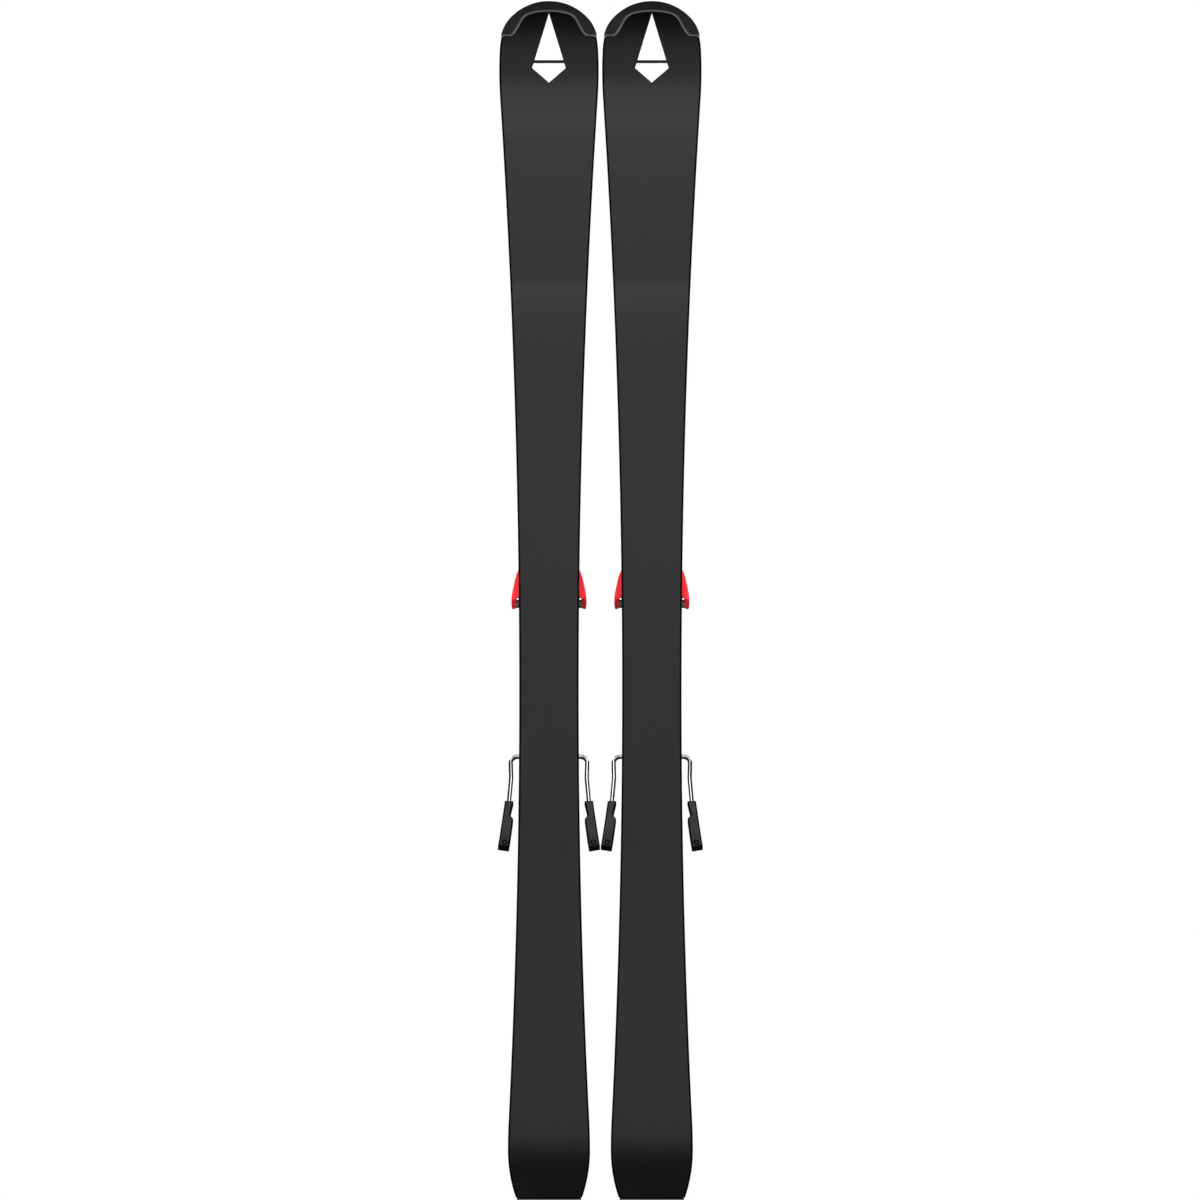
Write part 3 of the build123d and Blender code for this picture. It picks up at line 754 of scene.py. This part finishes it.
def tip_guard():
    """The tip guard: a C-shaped cap round the nose with a raised rim along its free edge."""
    rows = [outline_at(GUARD_FOOT_END + step) for step in (0.0, 0.5, 1.0, 1.5, 2.0, 2.6, 3.3)]
    rows += stations(GUARD_FOOT_END + 4.5, OUTLINE[-1][1])
    curve = catmull(GUARD_INNER, 20, (-GUARD_INNER[-2][0], GUARD_INNER[-2][1]))
    inner_line = spaced(curve, 90)
    fine = 2000
    ends = spaced(curve, fine + 1)
    lengths = lengths_along(rows)
    points = []
    for (x, z, normal_x, normal_z), length in zip(rows, lengths):
        inner_x, inner_z = ends[round(fine * length / lengths[-1])]
        outer_x, outer_z = x - 0.25 * normal_x, z - 0.25 * normal_z
        width = hypot(outer_x - inner_x, outer_z - inner_z)
        shares = [reach / width for reach in (0.0, 0.4, 0.8, 1.2, 1.6, 2.0, 2.4, 2.9, 3.4, 4.5)]
        shares += [shares[-1] + (1 - shares[-1]) * k / 5 for k in range(1, 6)]
        front, back = [], []
        for share in shares:
            px = inner_x + (outer_x - inner_x) * share
            pz = inner_z + (outer_z - inner_z) * share
            lift = guard_lift(guard_gap(px, pz, inner_line))
            front.append((px, base_y(pz, -GUARD_LIP - lift), pz))
            back.append((px, top_y(pz, -GUARD_LIP), pz))
        edge = []
        for line, sign in ((base_y, 1), (top_y, -1)):
            for out, height in ((0.55, -0.55), (0.95, -0.1), (GUARD_PROUD, 0.7))[::sign]:
                ez = z + out * normal_z
                edge.append((x + out * normal_x, line(ez, height), ez))
        wall_z = z - EDGE_WIDTH * normal_z
        wall_x = max(x - EDGE_WIDTH * normal_x, 0.0)
        inner = [
            (inner_x, top_y(inner_z), inner_z),
            (wall_x, top_y(wall_z), wall_z),
            (wall_x, base_y(wall_z), wall_z),
            (inner_x, base_y(inner_z), inner_z),
        ]
        ring = front + edge + back[::-1] + inner
        points += ring
    faces = band(len(rows), len(ring))[:-1]
    total = len(points)
    faces += [tuple(total + k for k in face) for face in faces]
    mesh = mesh_from("tip_guard_cap", points + [(-px, py, pz) for px, py, pz in points], faces)
    painted_highlight_start, painted_highlight_end = 0.45, 2.7
    # Painted highlight: faces near the free edge that face the front take the lighter grey. Painted
    # shade: faces that turn to the sides take near black.
    for polygon in mesh.polygons:
        spot = polygon.center / MM
        gap = guard_gap(abs(spot.x), spot.z, inner_line)
        if painted_highlight_start < gap < painted_highlight_end and polygon.normal.y < -0.5:
            polygon.material_index = 1
        elif -0.8 < polygon.normal.y < 0.3:
            polygon.material_index = 2
    shade(mesh, 40)
    return mesh


def tail_guard():
    """The tail guard: a rounded end plate on a recessed neck, and a tongue with two rivets
    that lies on the top surface."""
    plate = ski_loft(
        "tail_plate",
        (
            (0.8, base_y, 0.0),
            (0.2, base_y, 0.25),
            (0.0, base_y, 0.8),
            (0.0, top_y, 0.0),
            (0.3, top_y, -0.7),
            (1.0, top_y, -0.95),
        ),
        0.0,
        1.5,
    )
    neck = ski_loft("tail_neck", ((0.9, base_y, 0.8), (0.9, top_y, 0.3)), 1.2, TAIL_END + 0.2)
    # Painted shadow: the recessed neck takes near black, a dark line where the end plate meets the ski.
    for polygon in neck.polygons:
        polygon.material_index = 1
    corners = rounded(rectangle(-29, 29, 0.5, 26), (0.5, 0.5, 8, 8))
    rivets = [rod((x, 15), 3.2, 2.4, 3.2, "y", 24) for x in (-17, 17)]
    tongue = joined(bevelled(solid(corners, 0.0, 2.6, "y"), 0.6), *[bevelled(r, 0.4) for r in rivets])
    for vertex in tongue.vertices:
        vertex.co.y += (top_y(max(vertex.co.z / MM, 0.0)) - 1.5) * MM
    mesh = joined(plate, neck, tongue)
    shade(mesh, 40)
    return mesh


def ski_pieces():
    base = ski_loft(
        "base_strip",
        ((EDGE_WIDTH + 0.1, base_y, 0.0), (EDGE_WIDTH, base_y, 0.1), (EDGE_WIDTH, base_y, BASE_THICK)),
    )
    place("running_base", base, ("base",), "ski", ["base_sheet"])
    edges = side_bands(
        "edge_strips",
        (
            (EDGE_WIDTH, base_y, 0.0),
            (0.15, base_y, 0.0),
            (0.0, base_y, 0.15),
            (0.0, base_y, EDGE_HEIGHT),
            (EDGE_WIDTH, base_y, EDGE_HEIGHT),
        ),
        TAIL_END,
        GUARD_START,
    )
    # Painted shade: the edge's underside and corner take the near-black steel; only the side faces take
    # the bright steel.
    for polygon in edges.polygons:
        if abs(polygon.normal.x) > 0.6:
            polygon.material_index = 1
    place("edge_strips", edges, ("edge_painted_shade", "edge_side"), "ski", ["steel_edges"])
    sidewalls = side_bands(
        "sidewall_strips",
        (
            (6.0, base_y, EDGE_HEIGHT),
            (0.05, base_y, EDGE_HEIGHT),
            (-0.2, base_y, EDGE_HEIGHT + 0.3),
            (0.9, top_y, TOP_SHEET + LAMINATE),
            (6.0, top_y, TOP_SHEET + LAMINATE),
        ),
        TAIL_END,
        GUARD_START,
    )
    place("sidewall_strips", sidewalls, ("sidewall",), "ski", ["sidewalls"])
    upper = ski_loft(
        "upper_laminate",
        ((0.95, top_y, TOP_SHEET + LAMINATE), (1.0, top_y, TOP_SHEET)),
        nose_inset=EDGE_WIDTH,
    )
    place("laminate_layer", upper, ("laminate",), "ski", ["laminates"])
    core_corners = ((6.0, base_y, EDGE_HEIGHT), (6.0, top_y, TOP_SHEET + LAMINATE))
    core = ski_loft("core_block", core_corners, TAIL_END + 1)
    place("core_block", core, ("core",), "ski", ["wood_core"])
    top_corners = ((1.0, top_y, TOP_SHEET), (1.02, top_y, 0.45), (1.25, top_y, 0.15), (1.8, top_y, 0.0))
    top = ski_loft("top_skin", top_corners, nose_inset=EDGE_WIDTH)
    place("top_skin", top, ("top",), "ski", ["top_sheet"])
    tip_finishes = ("guard", "rim", "black_and_painted_shade")
    place("tip_guard_cap", tip_guard(), tip_finishes, "ski", ["tip_guard"])
    place("tail_guard_cap", tail_guard(), ("tail", "black_and_painted_shade"), "ski", ["tail_guard"])
    place("tip_mark", white_mark(), ("mark",), "ski")


ski_pieces()


# ======== Toe piece ========
WING_PIVOT = (22.0, 786.0)


def grip_ribs(x_span, y_span, z_start, z_end, pitch, width):
    """A row of narrow blocks along the ski, on both sides, to cut as grooves."""
    count = int((z_end - z_start) / pitch)
    return [
        both_sides(block(x_span, y_span, (z_start + k * pitch, z_start + k * pitch + width)))
        for k in range(count)
    ]


SCALE_NUMBERS = ("9", "7", "5", "3")


def scale_window(name, body, y, z, wide, long, lean):
    """A setting window: a white scale with ticks, numerals and a red pointer in a recess.
    Wide and long are half its width and half its length."""
    corners = rounded(rectangle(-wide, wide, -long, long), 1.5)
    strip = bevelled(solid(corners, -0.9, -0.35, "y"), 0.15)
    marks = []
    for k, number in enumerate(SCALE_NUMBERS):
        spot = -long + 2 * long * (k + 0.5) / len(SCALE_NUMBERS)
        marks.append(numeral(number, spot))
        marks.append(block((-wide + 0.8, -wide + 3.4), (-0.36, -0.22), (spot - 0.25, spot + 0.25)))
    pointer = solid([(-wide, -1.3), (-wide + 2.6, 0.0), (-wide, 1.3)], -0.3, 0.0, "y")
    for part, mesh, finish in (
        ("scale", strip, "white"),
        ("marks", joined(*marks), "black"),
        ("pointer", pointer, "red"),
    ):
        place(f"{name}_{part}", tilted(mesh, lean, y, z), (finish,), body)


def numeral(text, z):
    """A number in relief beside its tick, read from the binding side of the ski."""
    curve = bpy.data.curves.new("numeral", "FONT")
    curve.body = text
    curve.size = 3.4 * MM
    curve.extrude = 0.06 * MM
    mesh = applied(linked("numeral", curve))
    turn = Matrix(((-1, 0, 0, 0), (0, 0, 1, 0), (0, 1, 0, 0), (0, 0, 0, 1)))
    corner = Vector((1.5, -0.35, z - 1.2)) * MM
    mesh.transform(Matrix.Translation(corner) @ turn)
    return mesh


def toe_slider():
    grooves = grip_ribs((30.4, 33), (20, 31.5), 716, 858, 7.0, 2.6)
    remoulded("toe_carriage", "toe_slider", grooves, "toe", "binding_black", voxel=0.75)


def toe_housing():
    """The toe housing: a black foot and a red cover with shoulders, vents and a window."""
    half = 34.0
    whole = (760, 870)
    shell = cad("toe_housing")
    foot_keep = block((-40, 40), (30, 46.0), whole)
    foot = moulded_from(shell.copy(), keep=foot_keep, voxel=0.75)
    place("toe_foot", foot, ("black",), "toe", ["toe_housing"])
    shoulder = [(half + 1, 70), (half + 1, 82), (half - 11, 82), (half - 7, 77)]
    cuts = [
        both_sides(solid(shoulder, *whole, "z")),
        block((-9.5, 9.5), (78.6, 82), (777, 803)),
        *grip_ribs((half - 0.9, half + 2), (49, 70), 811, 836, 6.5, 2.4),
    ]
    cover_keep = block((-40, 40), (46.5, 90), whole)
    cover = moulded_from(shell, cuts, cover_keep, voxel=0.6, smooth=5)
    cover = combined(cover, both_sides(block((15, 17.0), (78.4, 82), (777, 803))))
    shade(cover, 50)
    place("toe_cover", cover, ("red",), "toe", ["toe_housing"])
    scale_window("toe", "toe", 79.6, 790, 8.6, 12.4, 0)


# The outer edge of a toe wing, as (x, z), from its root to its lower end.
WING_OUTER = ((27.0, 795.0), (35.0, 792.3), (40.6, 783.0), (45.3, 764.0), (47.1, 751.5))


def toe_wings():
    """Toe wings: a swept red arm whose lower end is cut back, with a roller in a dark fork."""
    painted_shade_top = 753.2
    outer = catmull(WING_OUTER, 8)
    end = [(47.0, 745.0), (46.4, 740.2), (44.9, 738.7), (41.7, 739.9), (40.8, 740.9), (40.8, 751.4)]
    inner = [(40.0, 753.4), (37.4, 754.8), (35.9, 759.0), (35.0, 766.0), (27.0, 773.0), (18.0, 778.0)]
    root = [(WING_PIVOT[0] + 9 * cos(a), WING_PIVOT[1] + 9 * sin(a))
            for a in (radians(d) for d in range(215, 95, -12))]
    arm = solid(outer + end + inner + root, 50.0, 68.0, "y")
    cut_back = solid([(49, 753.5), (60.5, 736), (40, 736), (40, 753.5)], 30, 50, "x")
    crown = solid([(43.6, 49), (48, 49), (48, 53.4)], 735, 800, "z")
    under = solid([(69, 765), (69, 736), (63.5, 736), (66.5, 750)], 30, 50, "x")
    bore = rod(WING_PIVOT, 3.1, 45, 72, "y", 28)
    mesh = moulded_from(arm, [cut_back, crown, under, bore], voxel=0.45, smooth=3, ratio=0.35)
    # Painted shade: faces of the cut-back end that face downward take the darker red.
    for polygon in mesh.polygons:
        if polygon.center.z < painted_shade_top * MM and polygon.normal.z < -0.25:
            polygon.material_index = 1
    fork_outline = [(35.6, 740.6), (41.4, 740.6), (41.4, 753.2), (39.6, 754.6), (35.9, 756.4)]
    fork = bevelled(
        combined(solid(fork_outline, 58.0, 67.0, "y"), rod((39.2, 751.9), 1.25, 50, 70, "y", 24)), 0.4
    )
    roller = bevelled(solid(rounded(rectangle(35.8, 42, 742.6, 749), 1.0), 54, 65, "y"), 0.7)
    for name, flip in (("right", 1), ("left", -1)):
        body = f"wing_{name}"
        for part, source, finishes, stood in (
            ("arm", mesh, ("wing_red", "painted_shade_red"), [f"toe_wing_{name}"]),
            ("fork", fork, ("black_and_painted_shade",), ()),
            ("roller", roller, ("roller",), ()),
        ):
            copy = mirrored(source) if flip < 0 else source.copy()
            place(f"{body}_{part}", copy, finishes, body, stood)


def glide_plate():
    """The anti-friction plate: a black carrier with a ribbed grey pad on top."""
    pocket = block((-26.5, 26.5), (43.0, 46), (716, 758))
    remoulded("glide_carrier", "afd_plate", [pocket], "afd", "glide_plate", voxel=0.6)
    ribs = []
    for k in range(9):
        x = -23.6 + 5.9 * k
        rib = rounded(rectangle(x - 2.2, x + 2.2, 717.5, 756.5), 1.6, 4)
        ribs.append(bevelled(solid(rib, 42.9, 43.95, "y"), 0.4))
    place("glide_ribs", joined(*ribs), ("glide",), "afd")


def lock_lever(name, pivot_z, toward_tip):
    """A lock lever with finger ribs near its tip."""
    cuts = []
    for k in range(3):
        z = pivot_z + toward_tip * (12.0 + 4.0 * k)
        cuts.append(block((-11, 11), (28.9, 32), (z - 0.7, z + 0.7)))
    node = body = f"{name}_lock"
    remoulded(f"{node}_lever", node, cuts, body, "lever_black", voxel=0.45, smooth=3)


toe_slider()
toe_housing()
toe_wings()
glide_plate()
lock_lever("toe", 867, 1)
lock_lever("heel", 367, -1)


# ======== Heel piece ========
def heel_slider():
    grooves = grip_ribs((30.4, 33), (20, 25.5), 446, 545, 7.0, 2.6)
    ticks = [block((-14, 14), (26.6, 30), (478 + 8 * k, 479.4 + 8 * k)) for k in range(7)]
    cuts = grooves + ticks
    remoulded("heel_carriage", "heel_slider", cuts, "heel", "binding_black", voxel=0.75)


def heel_housing():
    """The heel housing: a black cup and a red cover with a setting window."""
    shell = cad("heel_housing")
    split_low, split_high = (54.0, 380.0), (72.0, 495.0)
    cover_side = [split_low, split_high, (110.0, 495.0), (110.0, 380.0)]
    cup_side = [(20.0, 380.0), (split_low[0] - 0.6, 380.0), (split_high[0] - 0.6, 495.0), (20.0, 495.0)]
    cup = moulded_from(shell.copy(), keep=solid(cup_side, -40, 40, "x"), voxel=0.65)
    place("heel_cup_body", cup, ("black",), "heel_cup", ["heel_housing"])
    shoulder = [(30.5, 84), (30.5, 104), (22, 104), (25, 94)]
    window_lean = -degrees(atan2(7, 40))
    window = tilted(block((-8.5, 8.5), (-1.3, 6), (-11.5, 11.5)), window_lean, 95.6, 425.5)
    cuts = [
        both_sides(solid(shoulder, 436, 500, "z")),
        window,
        *grip_ribs((28.6, 32), (62, 88), 464, 482, 6.0, 2.4),
    ]
    cover = moulded_from(shell, cuts, solid(cover_side, -40, 40, "x"), voxel=0.6, smooth=5)
    place("heel_cover", cover, ("red",), "heel_cup", ["heel_housing"])
    scale_window("heel", "heel_cup", 95.6, 425.5, 7.6, 10.6, window_lean)


def heel_lever():
    """The heel lever: a forked black lever with a dished pad for a pole tip and grip ribs."""
    lean = degrees(atan2(20, 43))
    dish = rod((0, 0), 7.0, -1.4, 5, "y", 32)
    ribs = [block((-24, 24), (-0.9, 4), (-24 + 5.0 * k, -22 + 5.0 * k)) for k in range(3)]
    cuts = [tilted(dish, -lean, 106.0, 393.5)] + [tilted(rib, -lean, 106.0, 393.5) for rib in ribs]
    remoulded("heel_step_lever", "heel_lever", cuts, "heel_lever", "lever_black", voxel=0.6)


heel_slider()
heel_housing()
heel_lever()

# ======== Brake ========
# The pivot as (y, z); the wire's corners as distances across the ski and along the arm.
BRAKE_PIVOT = (33.0, 554.4)
BRAKE_ANGLE = 35.0
WIRE_RADIUS = 2.75
WIRE_ROUTE = ((16, -40), (16, 0), (48, 0), (47.3, 33.1), (50.2, 72), (54.6, 118))
WIRE_BEND = 9.0


def in_arm_plane(mesh):
    """Turn a mesh built with local x across the ski, local y off the plane and local z
    towards the pads into the plane of the brake arms."""
    copy = mesh.copy()
    angle = radians(BRAKE_ANGLE)
    along = Vector((0, -sin(angle), -cos(angle)))
    off = Vector((0, cos(angle), -sin(angle)))
    turn = Matrix(((1, 0, 0), (0, off.y, along.y), (0, off.z, along.z))).to_4x4()
    place_at = Matrix.Translation((0, BRAKE_PIVOT[0] * MM, BRAKE_PIVOT[1] * MM))
    copy.transform(place_at @ turn)
    copy.flip_normals()
    return copy


def wire_path():
    """The wire's centre line with its corners rounded as arcs."""
    path = [Vector(WIRE_ROUTE[0])]
    for before, corner, after in zip(WIRE_ROUTE, WIRE_ROUTE[1:], WIRE_ROUTE[2:]):
        here = Vector(corner)
        back = (Vector(before) - here).normalized()
        ahead = (Vector(after) - here).normalized()
        half = back.angle(ahead) / 2
        centre = here + (back + ahead).normalized() * WIRE_BEND / sin(half)
        start = here + back * WIRE_BEND / tan(half) - centre
        end = here + ahead * WIRE_BEND / tan(half) - centre
        turn = start.angle_signed(end)
        steps = max(3, round(abs(degrees(turn)) / 7))
        for step in range(steps + 1):
            path.append(centre + Matrix.Rotation(-turn * step / steps, 2) @ start)
    path.append(Vector(WIRE_ROUTE[-1]))
    return path


def brake_wire():
    """One brake arm: a bent round wire."""
    path = wire_path()
    sides = 24
    points = []
    for k, spot in enumerate(path):
        ahead = path[min(k + 1, len(path) - 1)] - path[max(k - 1, 0)]
        sideways = Vector((ahead.y, -ahead.x)).normalized()
        for j in range(sides):
            a = 2 * pi * j / sides
            out = sideways * WIRE_RADIUS * cos(a)
            points.append((spot.x + out.x, WIRE_RADIUS * sin(a), spot.y + out.y))
    mesh = mesh_from("brake_wire", points, band(len(path), sides))
    shade(mesh, 50)
    return mesh


# A pad's corners, as distances across the ski and along the arm.
PAD_OUTLINE = (
    (44.3, 70.6), (55.2, 70.2), (58.4, 97), (62.2, 127.5), (64.0, 139.4),
    (50.2, 142.0), (48.1, 127.5), (44.7, 97.6), (48.4, 92.2), (47.0, 84.0),
)


def brake_pad():
    """A brake pad: a waisted blade with a ring recess and a blunt end band."""
    radii = (0.6, 0.6, 4, 6, 0.7, 0.7, 6, 0.8, 1.0, 3)
    blade = solid(rounded(PAD_OUTLINE, radii, 4), -4.4, 4.4, "y")
    ring_centre = (55.6, 133.2)
    ring_middle, ring_width = 2.8, 1.1
    edge_width = 1.8
    painted_shade_start = 123
    ring = combined(rod(ring_centre, 3.5, -6, -3.5, "y", 36), rod(ring_centre, 2.0, -7, -3, "y", 36))
    end_groove = solid([(47, 137.8), (64, 135.0), (64, 135.9), (47, 138.7)], -6, -3.7, "y")
    outer_rim = solid([(46.4, 104), (46.9, 104), (50.6, 131), (50.1, 131)], -6, -3.9, "y")
    mesh = moulded_from(blade, [ring, end_groove, outer_rim], voxel=0.35, smooth=2, ratio=0.5)
    # Painted shade: on all but the back, faces near the outline, on the ring recess and past the end
    # groove take near black; the rest of the toe end takes the darker copy of the pad plastic.
    for polygon in mesh.polygons:
        spot = polygon.center / MM
        from_ring = hypot(spot.x - ring_centre[0], spot.z - ring_centre[1]) - ring_middle
        on_ring = abs(from_ring) < ring_width
        on_edge = edge_distance(spot.x, spot.z, PAD_OUTLINE) < edge_width
        past_groove = spot.z > 148.2 - 0.18 * spot.x
        if spot.y < 4.0 and (on_edge or on_ring or past_groove):
            polygon.material_index = 1
        elif spot.z > painted_shade_start:
            polygon.material_index = 2
    return mesh


def edge_distance(x, z, outline):
    """Distance from a point to the nearest side of a closed outline."""
    here = Vector((x, z))
    nearest = []
    for k, corner in enumerate(outline):
        start = Vector(outline[k - 1])
        side = Vector(corner) - start
        share = min(max((here - start).dot(side) / side.length_squared, 0.0), 1.0)
        nearest.append((here - start - side * share).length)
    return min(nearest)


def brake():
    wire = in_arm_plane(brake_wire())
    wires = both_sides(wire)
    shade(wires, 50)
    place("brake_wires", wires, ("wire",), "brake", ["brake_arms"])
    pad = in_arm_plane(brake_pad())
    pads = both_sides(pad)
    shade(pads, 55)
    pad_finishes = ("pad", "black_and_painted_shade", "pad_painted_shade")
    place("brake_blades", pads, pad_finishes, "brake", ["brake_pads"])
    grips = []
    for k in range(6):
        span = (-16.0 - 7.0 * k, -13.6 - 7.0 * k)
        grips.append(in_arm_plane(block((-17, 17), (3.4, 8), span)))
    settings = dict(voxel=0.6, smooth=3)
    remoulded("brake_step_pedal", "brake_pedal", grips, "brake", "pedal_plastic", **settings)


brake()

# ---- CAD nodes shown as they are ----
for node_name in ("toe_rail", "heel_rail"):
    finish_node(node_name, "rail")
for node_name in (
    "rail_screws",
    "toe_pins",
    "toe_spring",
    "toe_setting_screw",
    "heel_axle",
    "heel_spring",
    "heel_setting_screw",
):
    finish_node(node_name, "steel")


# ======== Floor, light and camera ========
def floor():
    """A plain pale disc at the tails."""
    work = bmesh.new()
    bmesh.ops.create_circle(work, cap_ends=True, radius=6.0, segments=96)
    mesh = bpy.data.meshes.new("floor")
    work.to_mesh(mesh)
    work.free()
    disc = linked("floor", mesh)
    disc.location.z = cad_box[0].z
    disc.visible_glossy = False
    glow = dict(Emission_Color=(1.0, 1.0, 1.0, 1.0), Emission_Strength=0.28)
    n = Surface("pale_floor", (0.8, 0.8, 0.8), 0.7, **glow)
    n.color(n.ramp(n.noise(0.5), ((0.3, 0.80), (0.7, 0.84))))
    disc.data.materials.append(n.material)


# Brightness of the surroundings by the sine of the height above the horizon, and by how
# squarely the direction faces the front or the back of the skis.
SKY_BY_HEIGHT = ((-1.0, 0.10), (-0.34, 0.03), (-0.20, 0.20), (-0.06, 0.68), (0.34, 0.68), (0.47, 0.52),
                 (0.66, 0.52), (0.70, 0.30), (0.74, 0.02), (1.0, 0.02))
SKY_BY_FACING = ((-1.0, 0.20), (-0.6, 0.05), (0.25, 0.05), (0.62, 1.0), (1.0, 1.0))


def sky():
    """White to the camera; for light and reflections, a soft band in front of the skis."""
    world = bpy.data.worlds.new("studio")
    bpy.context.scene.world = world
    world.use_nodes = True
    world.node_tree.nodes.clear()
    n = Nodes(world.node_tree)

    def brightness(sine, stops):
        share = n.math("MULTIPLY", n.math("ADD", sine, 1.0), 0.5)
        return n.ramp(share, [((place_at + 1.0) / 2.0, grey) for place_at, grey in stops])

    split = n.node("ShaderNodeSeparateXYZ")
    n.link(n.node("ShaderNodeTexCoord").outputs["Generated"], split.inputs["Vector"])
    by_height = brightness(split.outputs["Z"], SKY_BY_HEIGHT)
    by_facing = brightness(n.math("MULTIPLY", split.outputs["Y"], -1.0), SKY_BY_FACING)
    lit = n.node("ShaderNodeBackground")
    n.link(n.math("MULTIPLY", by_height, by_facing), lit.inputs["Color"])
    seen = n.node("ShaderNodeBackground")
    seen.inputs["Color"].default_value = (1.0, 1.0, 1.0, 1.0)
    choose = n.node("ShaderNodeMixShader")
    n.link(n.node("ShaderNodeLightPath").outputs["Is Camera Ray"], choose.inputs["Fac"])
    n.link(lit.outputs["Background"], choose.inputs[1])
    n.link(seen.outputs["Background"], choose.inputs[2])
    output = n.node("ShaderNodeOutputWorld")
    n.link(choose.outputs["Shader"], output.inputs["Surface"])


def area_light(name, location, aim, size, power, mirrored_in_gloss=True):
    """A soft light of a given width and height that points at a place."""
    data = bpy.data.lights.new(name, "AREA")
    data.shape = "RECTANGLE"
    data.size, data.size_y = size
    data.energy = power
    lamp = linked(name, data)
    lamp.location = location
    lamp.rotation_euler = (Vector(aim) - Vector(location)).to_track_quat("-Z", "Y").to_euler()
    lamp.visible_camera = False
    lamp.visible_glossy = mirrored_in_gloss


def camera():
    """Straight at the running surfaces, framing the whole height of the pair."""
    frame_margin = 1.000834
    side_shift = 0.0005
    low, high = cad_box
    data = bpy.data.cameras.new("camera")
    data.type = "ORTHO"
    data.ortho_scale = (high.z - low.z) * frame_margin
    data.clip_end = 50.0
    made = linked("camera", data)
    middle = (low.x + high.x) / 2 - side_shift
    made.location = (middle, -4.0, low.z + data.ortho_scale / 2)
    made.rotation_euler = (radians(90), 0.0, 0.0)
    bpy.context.scene.camera = made


floor()
sky()
camera()
area_light("front_left", (-2.7, -2.6, 1.3), (0, 0, 0.8), (1.2, 1.2), 74)
area_light("front_right", (2.7, -2.6, 1.3), (0, 0, 0.8), (1.2, 1.2), 74)
area_light("front_high", (0, -5, 2.4), (0, 0, 1.2), (1.2, 2.4), 4.6)
area_light("front_middle", (0, -5, 1.5), (0, 0, 1.5), (1.2, 1.6), 1)
area_light("brake_strip", (0, -0.25, 1.15), (0, -0.2499, 0.5), (0.38, 0.25), 0.62)
area_light("back_left", (-1.9, 2.6, 2.6), (0, 0, 0.6), (1.3, 1.3), 50)
area_light("back_right", (2.1, 2.4, 2.6), (0, 0, 0.7), (1.3, 1.3), 34)
area_light("ceiling", (0, 2.5, 4.5), (0, 2.5, 0), (6, 6), 200, mirrored_in_gloss=False)
bpy.context.scene.view_settings.view_transform = "Standard"
